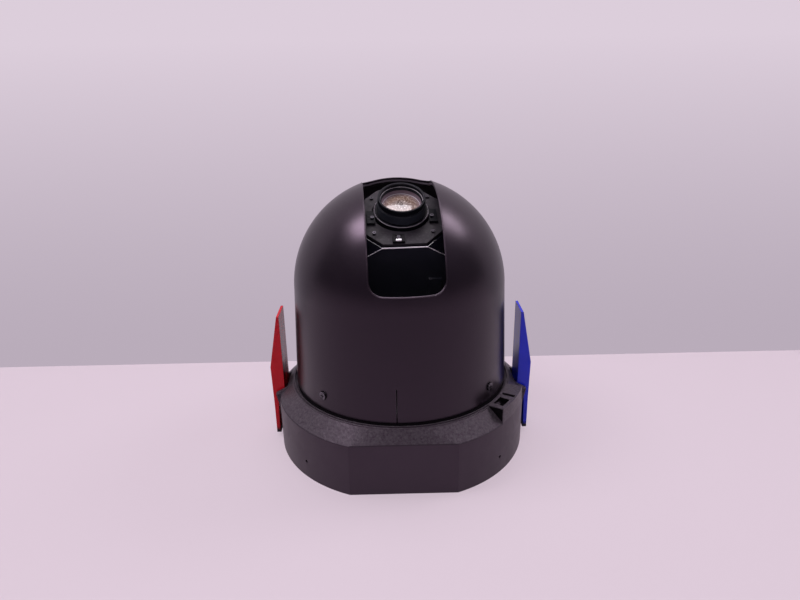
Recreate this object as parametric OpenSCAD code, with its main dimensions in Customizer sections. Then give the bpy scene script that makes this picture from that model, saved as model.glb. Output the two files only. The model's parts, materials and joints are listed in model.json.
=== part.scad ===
// Pan, tilt and zoom dome drive that stands on its base. A round base with two quick release
// levers carries a panning drum, and a tilting zoom camera looks out of the slot in its dome.
// Millimetres, +Z up, front at -Y, origin on the pan axis in the plane that the base stands on.

/* [Pose at rest] */
// Pan angle of the drum, towards +X
pan_rest = 3.7; // [-8:0.1:8]
// Elevation of the lens above the horizon
lens_rest = 64; // [20:1:90]

/* [Base] */
// Outer radius of the base wall
base_r = 80.7; // [79.5:0.1:84]
// Distance of the front flat from the pan axis
base_flat = 74.2; // [73:0.1:78]
// Height of the upright wall
base_wall_h = 33.1; // [31.5:0.1:35]
// Inner radius of the sloped ring
ring_r = 70; // [69.6:0.1:70.8]
// Height of the ring's inner edge
ring_z = 43.4; // [42:0.1:46]
// Width of each of the two lips at the ring's inner edge
lip_w = 0.8; // [0.5:0.1:1]
// Wall thickness of the base moulding
base_wall = 2.6; // [2:0.1:3]
// Thickness of the base plate
plate_t = 2.6; // [2.4:0.1:3.2]
// Thickness of the deck that carries the pan bearing
deck_t = 3; // [2.4:0.1:3.6]
// Depth of the deck below the ring's inner edge
well_depth = 2.4; // [1.8:0.1:3]
// Radius of the two small holes in the wall
wall_hole_r = 1.1; // [0.8:0.1:1.5]
// Height of the small wall holes
wall_hole_z = 11; // [8:0.5:16]
// Angle of the small wall holes from the front
wall_hole_angle = 46.7; // [40:0.1:55]

/* [Key block] */
// Angle from the front where the key block starts
key_from = 47.7; // [45:0.1:52]
// Turn of the block's front end off the radius, in degrees of arc
key_skew = 1.6; // [0:0.1:3]
// Angle from the front where the key block ends
key_to = 71; // [68:0.5:73]
// Width of the pocket in its top
key_pocket_w = 9; // [6:0.5:10]
// Length of the pocket along the radius
key_pocket_l = 6.5; // [4:0.5:6.5]
// Depth of the pocket
key_pocket_d = 3.8; // [3:0.1:3.9]
// Width of the slot behind the pocket
key_slot_w = 2.6; // [1.2:0.1:3]

/* [Latches] */
// Width of each lever along Y
latch_w = 20; // [16:0.5:22]
// Height of the lever's top edge
latch_top = 87.2; // [80:0.2:90]
// Height of the lever's widest place
latch_belly_z = 52; // [46:0.5:56]
// How far the widest place stands out past the base wall
latch_belly = 4; // [3.4:0.1:5]
// Thickness at the top edge
latch_top_t = 1.6; // [1.2:0.1:2]
// Thickness of the hooked lower end
latch_hook_t = 2.2; // [1.8:0.1:2.8]
// Radius of the pivot pin
latch_pin_r = 1.5; // [1.2:0.1:1.7]
// How far the pin lies inside the base wall
latch_pin_in = 1.2; // [1:0.1:1.6]
// How far the pin lies below the top of the wall
latch_pin_drop = 0.6; // [0:0.1:1.5]
// Thickness of the ears beside each lever
ear_t = 2.5; // [2:0.1:3]
// How far the ears stand out past the wall
ear_out = 1.2; // [1:0.1:1.8]

/* [Drum] */
// Radius of the dome
drum_r = 66; // [65.6:0.1:66.4]
// Outer radius at the drum's lower edge
drum_foot_r = 68.5; // [68.3:0.1:69]
// Height of the skirt below the dome
drum_h = 61.5; // [60:0.5:64]
// Wall thickness
drum_wall = 2.2; // [1.8:0.1:2.4]
// Gap between the drum's lower edge and the ring's inner edge
drum_gap = 0.9; // [0.6:0.1:1.4]
// Width of the camera slot
slot_w = 43; // [40:0.5:44]
// Height of the slot's sill above the centre of the dome
slot_sill = 13.2; // [11:0.1:15]
// Corner radius of the slot
slot_corner = 8; // [5:0.5:10]
// How far the slot runs past the top of the dome, in degrees
slot_back = 21; // [16:0.5:24]
// Width of the slit in the skirt
slit_w = 0.6; // [0.4:0.1:1]
// Height of the slit
slit_h = 21; // [15:0.5:24]
// Angle of the slit from the middle of the slot
slit_angle = -6.5; // [-10:0.5:10]
// Angle of each drum screw from the middle of the slot
drum_screw_angle = 46.9; // [44:0.1:52]
// Height of the drum screws above the lower edge
drum_screw_h = 8.7; // [8:0.1:9.5]

/* [Pan drive] */
// Module of the pan gears
pan_module = 1; // [0.95:0.05:1.05]
// Teeth of the pan gear
pan_gear_teeth = 80; // [76:1:84]
// Teeth of the pan pinion
pan_pinion_teeth = 18; // [18:1:20]
// Face width of the pan gear
gear_t = 4; // [3:0.2:5]
// Gap between the deck and the pan gear
gear_gap = 0.8; // [0.6:0.1:1.2]
// Thickness of the turntable
turntable_t = 3; // [2.4:0.1:3.6]
// Radius of the turntable's hub inside the bearing
hub_r = 18; // [17:0.1:18.4]
// Outer radius of the pan bearing
bearing_r = 26.5; // [26:0.1:27.5]
// Width of the pan bearing
bearing_w = 6; // [5.4:0.1:6.4]
// Number of bearing balls
balls = 14; // [8:1:18]
// Radius of a bearing ball
ball_r = 2; // [1.6:0.1:2.2]
// Radius of the pan motor
pan_motor_r = 17; // [15:0.5:18]
// Length of the pan motor
pan_motor_l = 22; // [18:0.5:24]
// Radius of the slip ring's body
slip_r = 12; // [10:0.5:14]
// Radius of the slip ring's rotor
slip_rotor_r = 6; // [5:0.1:7]
// Length of the slip ring's body
slip_l = 19; // [16:0.5:20]

/* [Tilt drive] */
// Height of the tilt axis above the centre of the dome
tilt_rise = 27.2; // [26:0.1:28]
// Sideways shift of the camera and its yoke from the pan axis
head_x = 1; // [-1:0.1:1.5]
// Module of the tilt gears
tilt_module = 0.8; // [0.75:0.05:0.85]
// Teeth of the tilt gear
tilt_gear_teeth = 50; // [46:1:54]
// Teeth of the tilt pinion
tilt_pinion_teeth = 18; // [18:1:20]
// Face width of the tilt gear
tilt_gear_t = 4; // [3:0.2:4.4]
// Thickness of each yoke arm
yoke_t = 3; // [2.4:0.1:3.4]
// Width of each yoke arm
yoke_w = 24; // [20:0.5:28]
// Radius of the trunnion shafts
trunnion_r = 4; // [3.4:0.1:4.4]
// Thickness of the trunnion flanges
trunnion_flange = 2; // [1.6:0.1:2.4]
// Radius of the tilt motor
tilt_motor_r = 11; // [9:0.5:12]
// Length of the tilt motor
tilt_motor_l = 14; // [12:0.5:15]

/* [Camera] */
// Width of the camera housing
cam_w = 50; // [48:0.5:50.5]
// Height of the housing above the lens axis
cam_up = 23.5; // [22.5:0.1:24]
// Depth of the housing below the lens axis
cam_down = 29.3; // [28.5:0.1:30]
// Reach of the housing in front of the tilt axis
cam_front = 20.4; // [19.5:0.1:21]
// Reach of the housing behind the tilt axis
cam_back = 31; // [29.5:0.1:31.5]
// Wall thickness of the housing
cam_wall = 1.6; // [1.2:0.1:2]
// Size of the cut corners on the front face
corner_cut = 12; // [10:0.5:13]
// How far the cut corners run back along the sides
corner_depth = 8; // [6.5:0.5:10]
// Chamfer along the housing's upper rear edge
rear_chamfer = 10; // [8:0.5:12]
// Thickness of the face plate
face_t = 1.6; // [1.2:0.1:2]
// Inset of the face plate from the housing's front outline
face_inset = 1.5; // [0.8:0.1:1.8]

/* [Lens] */
// Outer radius of the lens rim
rim_r = 13.85; // [13.4:0.05:14.2]
// Reach of the rim in front of the tilt axis
rim_reach = 33.5; // [32.5:0.1:34]
// Wall of the rim
rim_wall = 0.95; // [0.8:0.05:1.1]
// Radius of the sleeve behind the rim
sleeve_r = 14.4; // [14.2:0.1:14.8]
// Reach of the sleeve in front of the tilt axis
sleeve_reach = 30.2; // [29:0.1:31]
// Radius of the collar at the foot of the sleeve
collar_r = 16.2; // [15.8:0.1:16.5]
// Reach of the collar in front of the tilt axis
collar_reach = 23.8; // [23.4:0.1:25]
// Radius of the front lens
glass_r = 11.8; // [11.4:0.1:11.9]
// Depth of the front lens behind the rim
glass_depth = 5.2; // [4.6:0.1:5.6]
// Depth of the groove round the collar
groove_d = 2.6; // [1.6:0.1:3]
// Wall of the lens barrel behind the face plate
barrel_wall = 1.8; // [1.4:0.1:2]
// Radius of the lens guide rods
rod_r = 0.75; // [0.6:0.05:0.9]
// Travel of the zoom group
zoom_travel = 9; // [6:0.5:9]
// Travel of the focus group to each side of rest
focus_travel = 2; // [1:0.25:2.25]

/* [Fits] */
// Radial clearance of a running fit
run_fit = 0.05; // [0.03:0.01:0.09]
// Clearance between seated pieces
seat_gap = 0.3; // [0.2:0.05:0.4]
// Backlash of the gears
backlash = 0.25; // [0.15:0.05:0.35]

/* [Hidden] */
$fn = 96;
far = 200;

// Base heights and outlines
deck_top = ring_z - well_depth;
deck_bot = deck_top - deck_t;
lip_r = ring_r + 2 * lip_w;
lip_z = ring_z - 2 * lip_w * (ring_z - base_wall_h) / (base_r - ring_r);
base_in_r = base_r - base_wall;
ring_void_r = ring_r - base_wall;

// Key block: places of its pocket and slot, in degrees past its front end
key_pocket_at = 5.6;
key_slot_at = 12.8;
key_rib = 1.2;

// Screws: every size follows from the shank radius
screw_s = 1.2;
screw_m = 1.25;
screw_fit = 0.1;
head_ratio = 2;
head_h = 1.6;

// Base plate, board and connector
plate_screw_r = base_in_r - 6;
plate_screw_angles = [50, 130, 230, 310];
plate_boss_r = 4;
post_r = 3;
board_w = 88;
board_d = 76;
board_t = 1.6;
board_z = plate_t + 4.4;
board_y = -6;
board_post_x = board_w / 2 - 5;
board_post_y = board_d / 2 - 5;
plug_w = 42;
plug_d = 11;
plug_y = board_y + board_d / 2 - 10;
plug_z = 0.6;
pad_pitch = 4.6;
pad_w = 3;
pad_l = 3.4;
pad_count = 8;

// Latches
latch_x = base_r - latch_pin_in;
latch_z = base_wall_h - latch_pin_drop;
notch_half = latch_w / 2 + seat_gap;
notch_in = latch_x - 5.1;
notch_floor = latch_z - 7.5;
latch_in = latch_x - 2.9;
latch_hook_in = base_r + 1.3;
latch_foot = 3.4;
hook_tooth = 0.6;
hook_neck = 7;
latch_cover = 3.4;
ear_h = 14.5;
ear_toe = 2;
ear_low = 0.6;
ear_high = 1.9;
ear_back = 6;
spring_r = 3;
spring_half = 3.6;

// Pan stage
drum_z = ring_z + drum_gap;
dome_z = drum_z + drum_h;
drum_draft = (drum_foot_r - drum_r) / drum_h;
gear_z = deck_top + gear_gap;
table_z = gear_z + gear_t;
table_top = table_z + turntable_t;
table_r = drum_foot_r - drum_wall - drum_draft * (table_top - drum_z) - seat_gap;
drum_screw_z = drum_z + drum_screw_h;
drum_screw_r = drum_foot_r - drum_draft * drum_screw_h;
drum_head_sink = 0.6;
tab_w = 11;
tab_t = 3.4;
tab_r = drum_screw_r - drum_wall - seat_gap;
bearing_z = deck_bot - 3.5;
ball_pitch_r = (hub_r + bearing_r) / 2;
ball_gap = 0.12;
race_gap = ball_r * 0.6;
boss_r = bearing_r + 3.5;
boss_z = bearing_z - 1.5;
hub_bore_r = 12;
shoulder_r = hub_r + 2;
pan_centres = pan_module * (pan_gear_teeth + pan_pinion_teeth) / 2 + 0.1;
pan_pinion_t = gear_t - 0.6;
pan_shaft_r = 2.5;
motor_flange_t = 2;
motor_screw_x = 14;
pilot_r = 6;
slip_flange_t = 2;
rotor_flange_r = 16;
gear_bore_r = 26;
gear_screw_r = 32;
gear_screw_angles = [70, 110, 250, 290];

// Tilt stage
tilt_z = dome_z + tilt_rise;
yoke_x = cam_w / 2 + trunnion_flange + 0.5;
yoke_out = yoke_x + yoke_t;
yoke_foot = 10;
yoke_foot_t = 3;
bush_wall = 2;
bush_flange = 0.8;
tilt_gear_x = yoke_out + bush_flange + 0.5;
tilt_centres = tilt_module * (tilt_gear_teeth + tilt_pinion_teeth) / 2 + 0.1;
tilt_pinion_z = tilt_z - tilt_centres;
tilt_shaft_r = 1.5;
motor_stand = tilt_gear_t + bush_flange + 2;
motor_x = yoke_out + motor_stand;
stand_y = 12;
stand_z = tilt_pinion_z - 9;
stand_r = 3;
drive_z = table_top + 9;
drive_w = 48;
drive_d = 62;
drive_post_x = drive_w / 2 - 4;
drive_post_y = drive_d / 2 - 4;
chip_w = 16;
chip_d = 14;
chip_t = 2;
chip_apart = 12;

// Camera and lens, in the camera's own frame: lens along -Y, +Z towards its top
face_front = cam_front + face_t;
barrel_r = collar_r + 0.9;
barrel_bore = barrel_r - barrel_wall;
barrel_back = 16;
barrel_front = face_front - 2;
rim_bore = rim_r - rim_wall;
glass_bore = glass_r + 0.2;
glass_t = 4;
glass_bulge = 1.6;
ring_seat = rim_reach - glass_depth - glass_bulge + seat_gap;
ring_lip = 0.9;
ring_rise = 4;
rod_x = barrel_bore - 1.9;
group_t = 5;
sensor_t = 1.2;
group_gap = 0.8;
zoom_y = -barrel_front + group_gap + zoom_travel;
focus_y = barrel_back - sensor_t - group_gap - focus_travel - group_t;
group_r = barrel_bore - seat_gap;
lug_w = 5;
lug_h = 11;
lug_x = collar_r + 2.1;
lug_z = -5.2;
lug_t = 1.6;
lug_screw_x = lug_x - 0.7;
lug_screw_z = lug_z - 1;
small_screw = 0.9;
tiny_screw = 0.55;
clip_w = 7;
clip_h = 6.4;
clip_t = 1.6;
clip_x = -3.4;
clip_z = -cam_down + 5.1;
clip_tongue_r = 0.8;
clip_tongue_z = -2.2;
corner_screw_x = cam_w / 2 - 8;
corner_screw_up = cam_up - 10;
corner_screw_down = -cam_down + 11;
side_pad_x = 14.6;
side_pad_w = 8;
side_pad_t = 1.2;
side_pad_y = 4.5;
side_pad_l = 20;
rear_t = 1.6;
rear_w = cam_w - 2 * (cam_wall + seat_gap);
rear_h = cam_down + cam_up - rear_chamfer - cam_wall - 2 * seat_gap;
rear_y = cam_back - cam_wall - rear_t;
rear_screw_x = 16;
rear_screw_z = -8;
sensor_board_w = 36;
sensor_w = 10;
sensor_h = 8;
lens_motor_r = 5;
lens_motor_l = 16;
lens_motor_x = 16;
lens_motor_z = -cam_down + cam_wall + lens_motor_r + 0.2;
small_head = 0.6;

// Helpers

// Turn a piece with the drum's pan angle
module on_pan() {
    rotate([0, 0, pan_rest]) children();
}

// Place a piece of the yoke, which stands a little beside the pan axis
module on_head() {
    on_pan() translate([head_x, 0, 0]) children();
}

// Place a piece of the camera: lens along -Y before the turn
module on_tilt() {
    on_head() translate([0, 0, tilt_z]) rotate([-lens_rest, 0, 0]) children();
}

// Stand a profile drawn as (radius, reach) round the lens axis
module round_lens() {
    rotate([90, 0, 0]) rotate_extrude() children();
}

// Disc or rod along X, from x to x + l
module x_rod(r, x, l) {
    translate([x, 0, 0]) rotate([0, 90, 0]) cylinder(r = r, h = l);
}

// Remove everything in front of a plane at -y
module front_cut(y) {
    translate([-far, -y - far, -far / 2]) cube([2 * far, far, far]);
}

// Half space whose face passes through p with outward normal n
module beyond(p, n) {
    b = acos(n.z / norm(n));
    translate(p) rotate([0, b, atan2(n.y, n.x)]) translate([-far / 2, -far / 2, 0]) cube(far);
}

// Cross headed screw, head upward from z = 0, shank downward
module screw(shank_r, shank_l) {
    head_r = head_ratio * shank_r;
    difference() {
        union() {
            cylinder(r = head_r, h = head_h);
            translate([0, 0, -shank_l]) cylinder(r = shank_r, h = shank_l);
        }
        for (a = [0, 90])
            rotate([0, 0, a]) translate([-head_r * 0.6, -shank_r * 0.2, head_h / 2])
                cube([head_r * 1.2, shank_r * 0.4, head_h]);
    }
}

// Screw with a low head, scaled from the common one
module low_screw(shank_r, shank_l) {
    scale(small_head) screw(shank_r / small_head, shank_l / small_head);
}

// Involute gear outline: one tooth is centred on the angle phase
function roll(r, rb) = sqrt(max(0, pow(r / rb, 2) - 1));
function inv(r, rb) = roll(r, rb) * 180 / PI - atan(roll(r, rb));
function at(r, a) = r * [cos(a), sin(a)];
function tooth(rf, radii, halves, a) = concat(
    [at(rf, a - halves[0])],
    [for (i = [0 : len(radii) - 1]) at(radii[i], a - halves[i])],
    [for (i = [len(radii) - 1 : -1 : 0]) at(radii[i], a + halves[i])],
    [at(rf, a + halves[0])]);
module gear_2d(m, teeth, phase) {
    pitch_r = m * teeth / 2;
    rb = pitch_r * cos(20);
    rf = pitch_r - 1.25 * m;
    start_r = max(rb, rf + 0.05);
    tip_r = pitch_r + m;
    radii = [start_r, (start_r + tip_r) / 2, tip_r];
    half = 90 / teeth - backlash / pitch_r * 45 / PI + inv(pitch_r, rb);
    halves = [for (r = radii) half - inv(r, rb)];
    polygon([for (k = [0 : teeth - 1]) each tooth(rf, radii, halves, phase + 360 * k / teeth)]);
}

// Base

// Solid that the base moulding fills, with the ring lofted to the front flat
module base_outer() {
    difference() {
        cylinder(r = base_r, h = base_wall_h);
        front_cut(base_flat);
    }
    hull() {
        difference() {
            translate([0, 0, base_wall_h - 0.2]) cylinder(r = base_r, h = 0.2, $fn = 160);
            front_cut(base_flat);
        }
        translate([0, 0, lip_z - 0.2]) cylinder(r = lip_r, h = 0.2, $fn = 160);
    }
    translate([0, 0, deck_bot]) cylinder(r = lip_r, h = (lip_z + ring_z) / 2 - deck_bot);
    translate([0, 0, deck_bot]) cylinder(r = ring_r + lip_w, h = ring_z - deck_bot);
}

// Hollow of the base: the chamber below the deck and the well above it
module base_void() {
    difference() {
        union() {
            translate([0, 0, -1]) cylinder(r = base_in_r, h = base_wall_h - base_wall + 1);
            translate([0, 0, -1]) cylinder(r = ring_void_r, h = deck_bot + 1);
        }
        front_cut(base_flat - base_wall);
    }
    translate([0, 0, deck_top]) cylinder(r = ring_r, h = far);
}

// Plan of the key block, with its front end turned off the radius
function key_edge(r) = at(r, key_from + key_skew * (r - base_r) / (base_r - ring_r));
module key_wedge() {
    rotate([0, 0, -90]) linear_extrude(far)
        polygon([key_edge(ring_void_r - 1), key_edge(base_r + 8), at(base_r + 8, key_to),
            at(ring_void_r - 1, key_to)]);
}

// Raised block on the ring, with its pocket and slot
module key_block() {
    difference() {
        intersection() {
            translate([0, 0, deck_bot]) difference() {
                cylinder(r = base_r, h = ring_z - deck_bot);
                translate([0, 0, -1]) cylinder(r = ring_r, h = far);
            }
            key_wedge();
        }
        rotate([0, 0, key_from + key_pocket_at])
            translate([-key_pocket_w / 2, -base_r + 2.4, ring_z - key_pocket_d])
                cube([key_pocket_w, key_pocket_l, far]);
        rotate([0, 0, key_from + key_slot_at])
            translate([-key_slot_w / 2, -base_r + key_rib, ring_z - key_pocket_d / 2])
                cube([key_slot_w, base_r - ring_r - 2 * key_rib, far]);
    }
    intersection() {
        translate([0, 0, base_wall_h - base_wall]) difference() {
            cylinder(r = base_r, h = deck_bot - base_wall_h + base_wall);
            translate([0, 0, -1]) cylinder(r = ring_void_r, h = far);
        }
        key_wedge();
    }
}

// Pocket of one latch in the base's right side, ears included
module latch_pocket() {
    intersection() {
        translate([notch_in - base_wall, -notch_half - ear_t, notch_floor - base_wall])
            cube([far, 2 * (notch_half + ear_t), far]);
        base_outer();
    }
    for (y = [-notch_half - ear_t, notch_half])
        translate([0, y + ear_t, 0]) rotate([90, 0, 0]) linear_extrude(ear_t)
            polygon([[notch_in, latch_z - ear_h], [base_r - ear_toe, latch_z - ear_h],
                [base_r + ear_out, latch_z + ear_low], [base_r + ear_out, latch_z + ear_high],
                [notch_in, latch_z + ear_back]]);
}

module latch_notch() {
    translate([notch_in, -notch_half, notch_floor]) cube([far, 2 * notch_half, far]);
    translate([latch_x, far / 2, latch_z]) rotate([90, 0, 0]) cylinder(r = latch_pin_r + run_fit, h = far);
}

module base_housing() {
    color("#35343a") difference() {
        union() {
            difference() {
                base_outer();
                base_void();
            }
            key_block();
            for (side = [0, 1]) mirror([side, 0, 0]) latch_pocket();
            translate([0, 0, boss_z]) cylinder(r = boss_r, h = deck_bot - boss_z);
            for (a = plate_screw_angles)
                rotate([0, 0, a]) translate([plate_screw_r, 0, plate_t])
                    cylinder(r = plate_boss_r, h = base_wall_h - plate_t);
        }
        for (side = [0, 1]) mirror([side, 0, 0]) latch_notch();
        translate([0, 0, bearing_z]) cylinder(r = bearing_r, h = far);
        cylinder(r = bearing_r - 3, h = far);
        translate([0, pan_centres, 0]) {
            cylinder(r = pilot_r, h = far);
            for (x = [-motor_screw_x, motor_screw_x])
                translate([x, 0, 0]) cylinder(r = screw_m + screw_fit, h = far);
        }
        for (a = plate_screw_angles)
            rotate([0, 0, a]) translate([plate_screw_r, 0, 0]) cylinder(r = screw_m, h = plate_t + 12);
        for (a = [-wall_hole_angle, wall_hole_angle])
            rotate([90, 0, a]) translate([0, wall_hole_z, base_r - 2 * base_wall])
                cylinder(r = wall_hole_r, h = far);
    }
}

module base_plate() {
    color("#2a2a2e") difference() {
        union() {
            difference() {
                cylinder(r = base_in_r - seat_gap, h = plate_t);
                front_cut(base_flat - base_wall - seat_gap);
            }
            for (x = [-board_post_x, board_post_x], y = [-board_post_y, board_post_y])
                translate([x, board_y + y, 0]) cylinder(r = post_r, h = board_z);
        }
        for (a = plate_screw_angles) rotate([0, 0, a]) translate([plate_screw_r, 0, 0]) {
            cylinder(r = screw_m + screw_fit, h = far, center = true);
            translate([0, 0, -1]) cylinder(r = head_ratio * screw_m + seat_gap, h = head_h + 1.2);
        }
        for (x = [-board_post_x, board_post_x], y = [-board_post_y, board_post_y])
            translate([x, board_y + y, plate_t]) cylinder(r = screw_s, h = far);
        translate([-plug_w / 2 - seat_gap, plug_y - plug_d / 2 - seat_gap, -1])
            cube([plug_w + 2 * seat_gap, plug_d + 2 * seat_gap, plate_t + 2]);
    }
}

module base_plate_screws() {
    color("silver") for (a = plate_screw_angles)
        rotate([0, 0, a]) translate([plate_screw_r, 0, head_h + 0.2]) mirror([0, 0, 1]) screw(screw_m, 8);
}

module main_board() {
    color("#1f5a35") {
        difference() {
            translate([-board_w / 2, board_y - board_d / 2, board_z]) cube([board_w, board_d, board_t]);
            for (x = [-board_post_x, board_post_x], y = [-board_post_y, board_post_y])
                translate([x, board_y + y, board_z - 1]) cylinder(r = screw_s + screw_fit, h = far);
        }
        for (x = [-chip_w - chip_apart / 2, chip_apart / 2])
            translate([x, board_y - 2 * chip_d, board_z + board_t]) cube([chip_w, chip_d, chip_t]);
    }
}

module main_board_screws() {
    color("silver") for (x = [-board_post_x, board_post_x], y = [-board_post_y, board_post_y])
        translate([x, board_y + y, board_z + board_t]) screw(screw_s, 4);
}

module base_connector() {
    color("#d8d4c8") translate([-plug_w / 2, plug_y - plug_d / 2, plug_z])
        cube([plug_w, plug_d, board_z - plug_z]);
}

module contact_pads() {
    first = -(pad_count - 1) / 2 * pad_pitch - pad_w / 2;
    color("gold") for (i = [0 : pad_count - 1], y = [-1, 1])
        translate([first + i * pad_pitch, plug_y + y * plug_d / 4 - pad_l / 2, plug_z / 2])
            cube([pad_w, pad_l, plug_z / 2]);
}

module pan_motor() {
    color("#8d8f94") translate([0, pan_centres, 0]) difference() {
        union() {
            translate([0, 0, deck_bot - motor_flange_t - pan_motor_l])
                cylinder(r = pan_motor_r, h = pan_motor_l);
            translate([-motor_screw_x - 4, -motor_screw_x, deck_bot - motor_flange_t])
                cube([2 * motor_screw_x + 8, 2 * motor_screw_x, motor_flange_t]);
            translate([0, 0, deck_bot]) cylinder(r = pilot_r - screw_fit, h = deck_t - 1);
        }
        translate([0, 0, deck_bot - pan_motor_l + 2]) cylinder(r = pan_shaft_r + run_fit, h = far);
        for (x = [-motor_screw_x, motor_screw_x])
            translate([x, 0, deck_bot - motor_flange_t - 6]) cylinder(r = screw_m, h = far);
    }
}

module pan_motor_screws() {
    color("silver") for (x = [-motor_screw_x, motor_screw_x])
        translate([x, pan_centres, deck_top]) screw(screw_m, deck_t + motor_flange_t);
}

module outer_race() {
    color("#b9bcc2") rotate_extrude() difference() {
        translate([ball_pitch_r + race_gap, bearing_z])
            square([bearing_r - run_fit - ball_pitch_r - race_gap, bearing_w]);
        translate([ball_pitch_r, bearing_z + bearing_w / 2]) circle(r = ball_r + ball_gap);
    }
}

module bearing_balls() {
    color("#d9dade") for (k = [0 : balls - 1])
        rotate([0, 0, 360 * k / balls]) translate([ball_pitch_r, 0, bearing_z + bearing_w / 2])
            sphere(r = ball_r, $fn = 32);
}

module slip_ring_stator() {
    color("#26262a") translate([0, 0, boss_z - slip_flange_t]) difference() {
        union() {
            cylinder(r = boss_r - 2, h = slip_flange_t);
            translate([0, 0, -slip_l]) cylinder(r = slip_r, h = slip_l);
        }
        translate([0, 0, 2 - slip_l]) cylinder(r = slip_rotor_r + run_fit, h = far);
    }
}

module latch_pins() {
    color("silver") for (side = [-1, 1])
        translate([side * latch_x, notch_half + ear_t, latch_z]) rotate([90, 0, 0])
            cylinder(r = latch_pin_r, h = 2 * (notch_half + ear_t));
}

module latch_springs() {
    color("#9a9ca2") for (side = [-1, 1])
        translate([side * latch_x, spring_half, latch_z]) rotate([90, 0, 0]) difference() {
            cylinder(r = spring_r, h = 2 * spring_half);
            translate([0, 0, -1]) cylinder(r = latch_pin_r + run_fit, h = far);
        }
}

// Lever on the right side: leaf shaped in side view, hooked below
module latch_lever() {
    difference() {
        translate([0, latch_w / 2, 0]) rotate([90, 0, 0]) linear_extrude(latch_w)
            polygon([[latch_in, latch_top], [latch_in + latch_top_t, latch_top],
                [base_r + latch_belly, latch_belly_z], [latch_hook_in + latch_hook_t, latch_z - hook_neck],
                [latch_hook_in + latch_hook_t, latch_foot], [latch_hook_in - hook_tooth, latch_foot],
                [latch_hook_in - hook_tooth, latch_foot + 1], [latch_hook_in, latch_foot + 4 * hook_tooth],
                [latch_hook_in - hook_tooth, latch_z - hook_neck], [latch_in, latch_z - latch_cover]]);
        translate([latch_x, far / 2, latch_z]) rotate([90, 0, 0])
            cylinder(r = latch_pin_r + run_fit, h = far);
        translate([latch_x, spring_half + seat_gap, latch_z]) rotate([90, 0, 0])
            cylinder(r = spring_r + seat_gap, h = 2 * (spring_half + seat_gap));
    }
}

module red_latch() {
    color("#c81f2b") mirror([1, 0, 0]) latch_lever();
}

module blue_latch() {
    color("#2a2fb0") latch_lever();
}

module pan_shaft() {
    color("silver") translate([0, pan_centres, deck_bot - pan_motor_l + 2.5])
        cylinder(r = pan_shaft_r, h = table_z - 0.6 - deck_bot + pan_motor_l - 2.5);
}

module pan_pinion() {
    color("#c9b26a") translate([0, pan_centres, gear_z + 0.2]) linear_extrude(pan_pinion_t) difference() {
        gear_2d(pan_module, pan_pinion_teeth, 270 + 180 / pan_pinion_teeth);
        circle(r = pan_shaft_r);
    }
}

// Pan stage

// Half section of the drum, drawn in by inset
module drum_half(inset) {
    polygon([[0, drum_z], [drum_foot_r - inset, drum_z], [drum_r - inset, dome_z], [0, dome_z]]);
    translate([0, dome_z]) intersection() {
        circle(r = drum_r - inset);
        square(drum_r);
    }
}

// Upright bar with two round corners on its low edge
module slot_outline(low, high) {
    translate([-slot_w / 2, low + slot_corner]) square([slot_w, high - low - slot_corner]);
    translate([-slot_w / 2 + slot_corner, low]) square([slot_w - 2 * slot_corner, slot_corner]);
    for (x = [-1, 1]) translate([x * (slot_w / 2 - slot_corner), low + slot_corner]) circle(r = slot_corner);
}

module drum_shell() {
    back = drum_r * sin(slot_back);
    color("#1d1c20") on_pan() difference() {
        rotate_extrude() difference() {
            drum_half(0);
            translate([-0.01, -0.01]) drum_half(drum_wall);
        }
        rotate([90, 0, 0]) linear_extrude(far) slot_outline(dome_z + slot_sill, far);
        translate([0, 0, dome_z + drum_r / 2]) mirror([0, 1, 0]) linear_extrude(far) slot_outline(-back, far);
        rotate([0, 0, slit_angle]) translate([-slit_w / 2, -far, drum_z - 1]) cube([slit_w, far, slit_h + 1]);
        for (a = [-drum_screw_angle, drum_screw_angle, 180 - drum_screw_angle, 180 + drum_screw_angle])
            rotate([90, 0, a]) translate([0, drum_screw_z, 0]) {
                cylinder(r = screw_m + screw_fit, h = far);
                translate([0, 0, drum_screw_r - drum_head_sink])
                    cylinder(r = head_ratio * screw_m + seat_gap, h = far);
            }
    }
}

module drum_screws() {
    color("#3c3c42") on_pan()
        for (a = [-drum_screw_angle, drum_screw_angle, 180 - drum_screw_angle, 180 + drum_screw_angle])
            rotate([90, 0, a]) translate([0, drum_screw_z, drum_screw_r - drum_head_sink]) screw(screw_m, 4);
}

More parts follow.
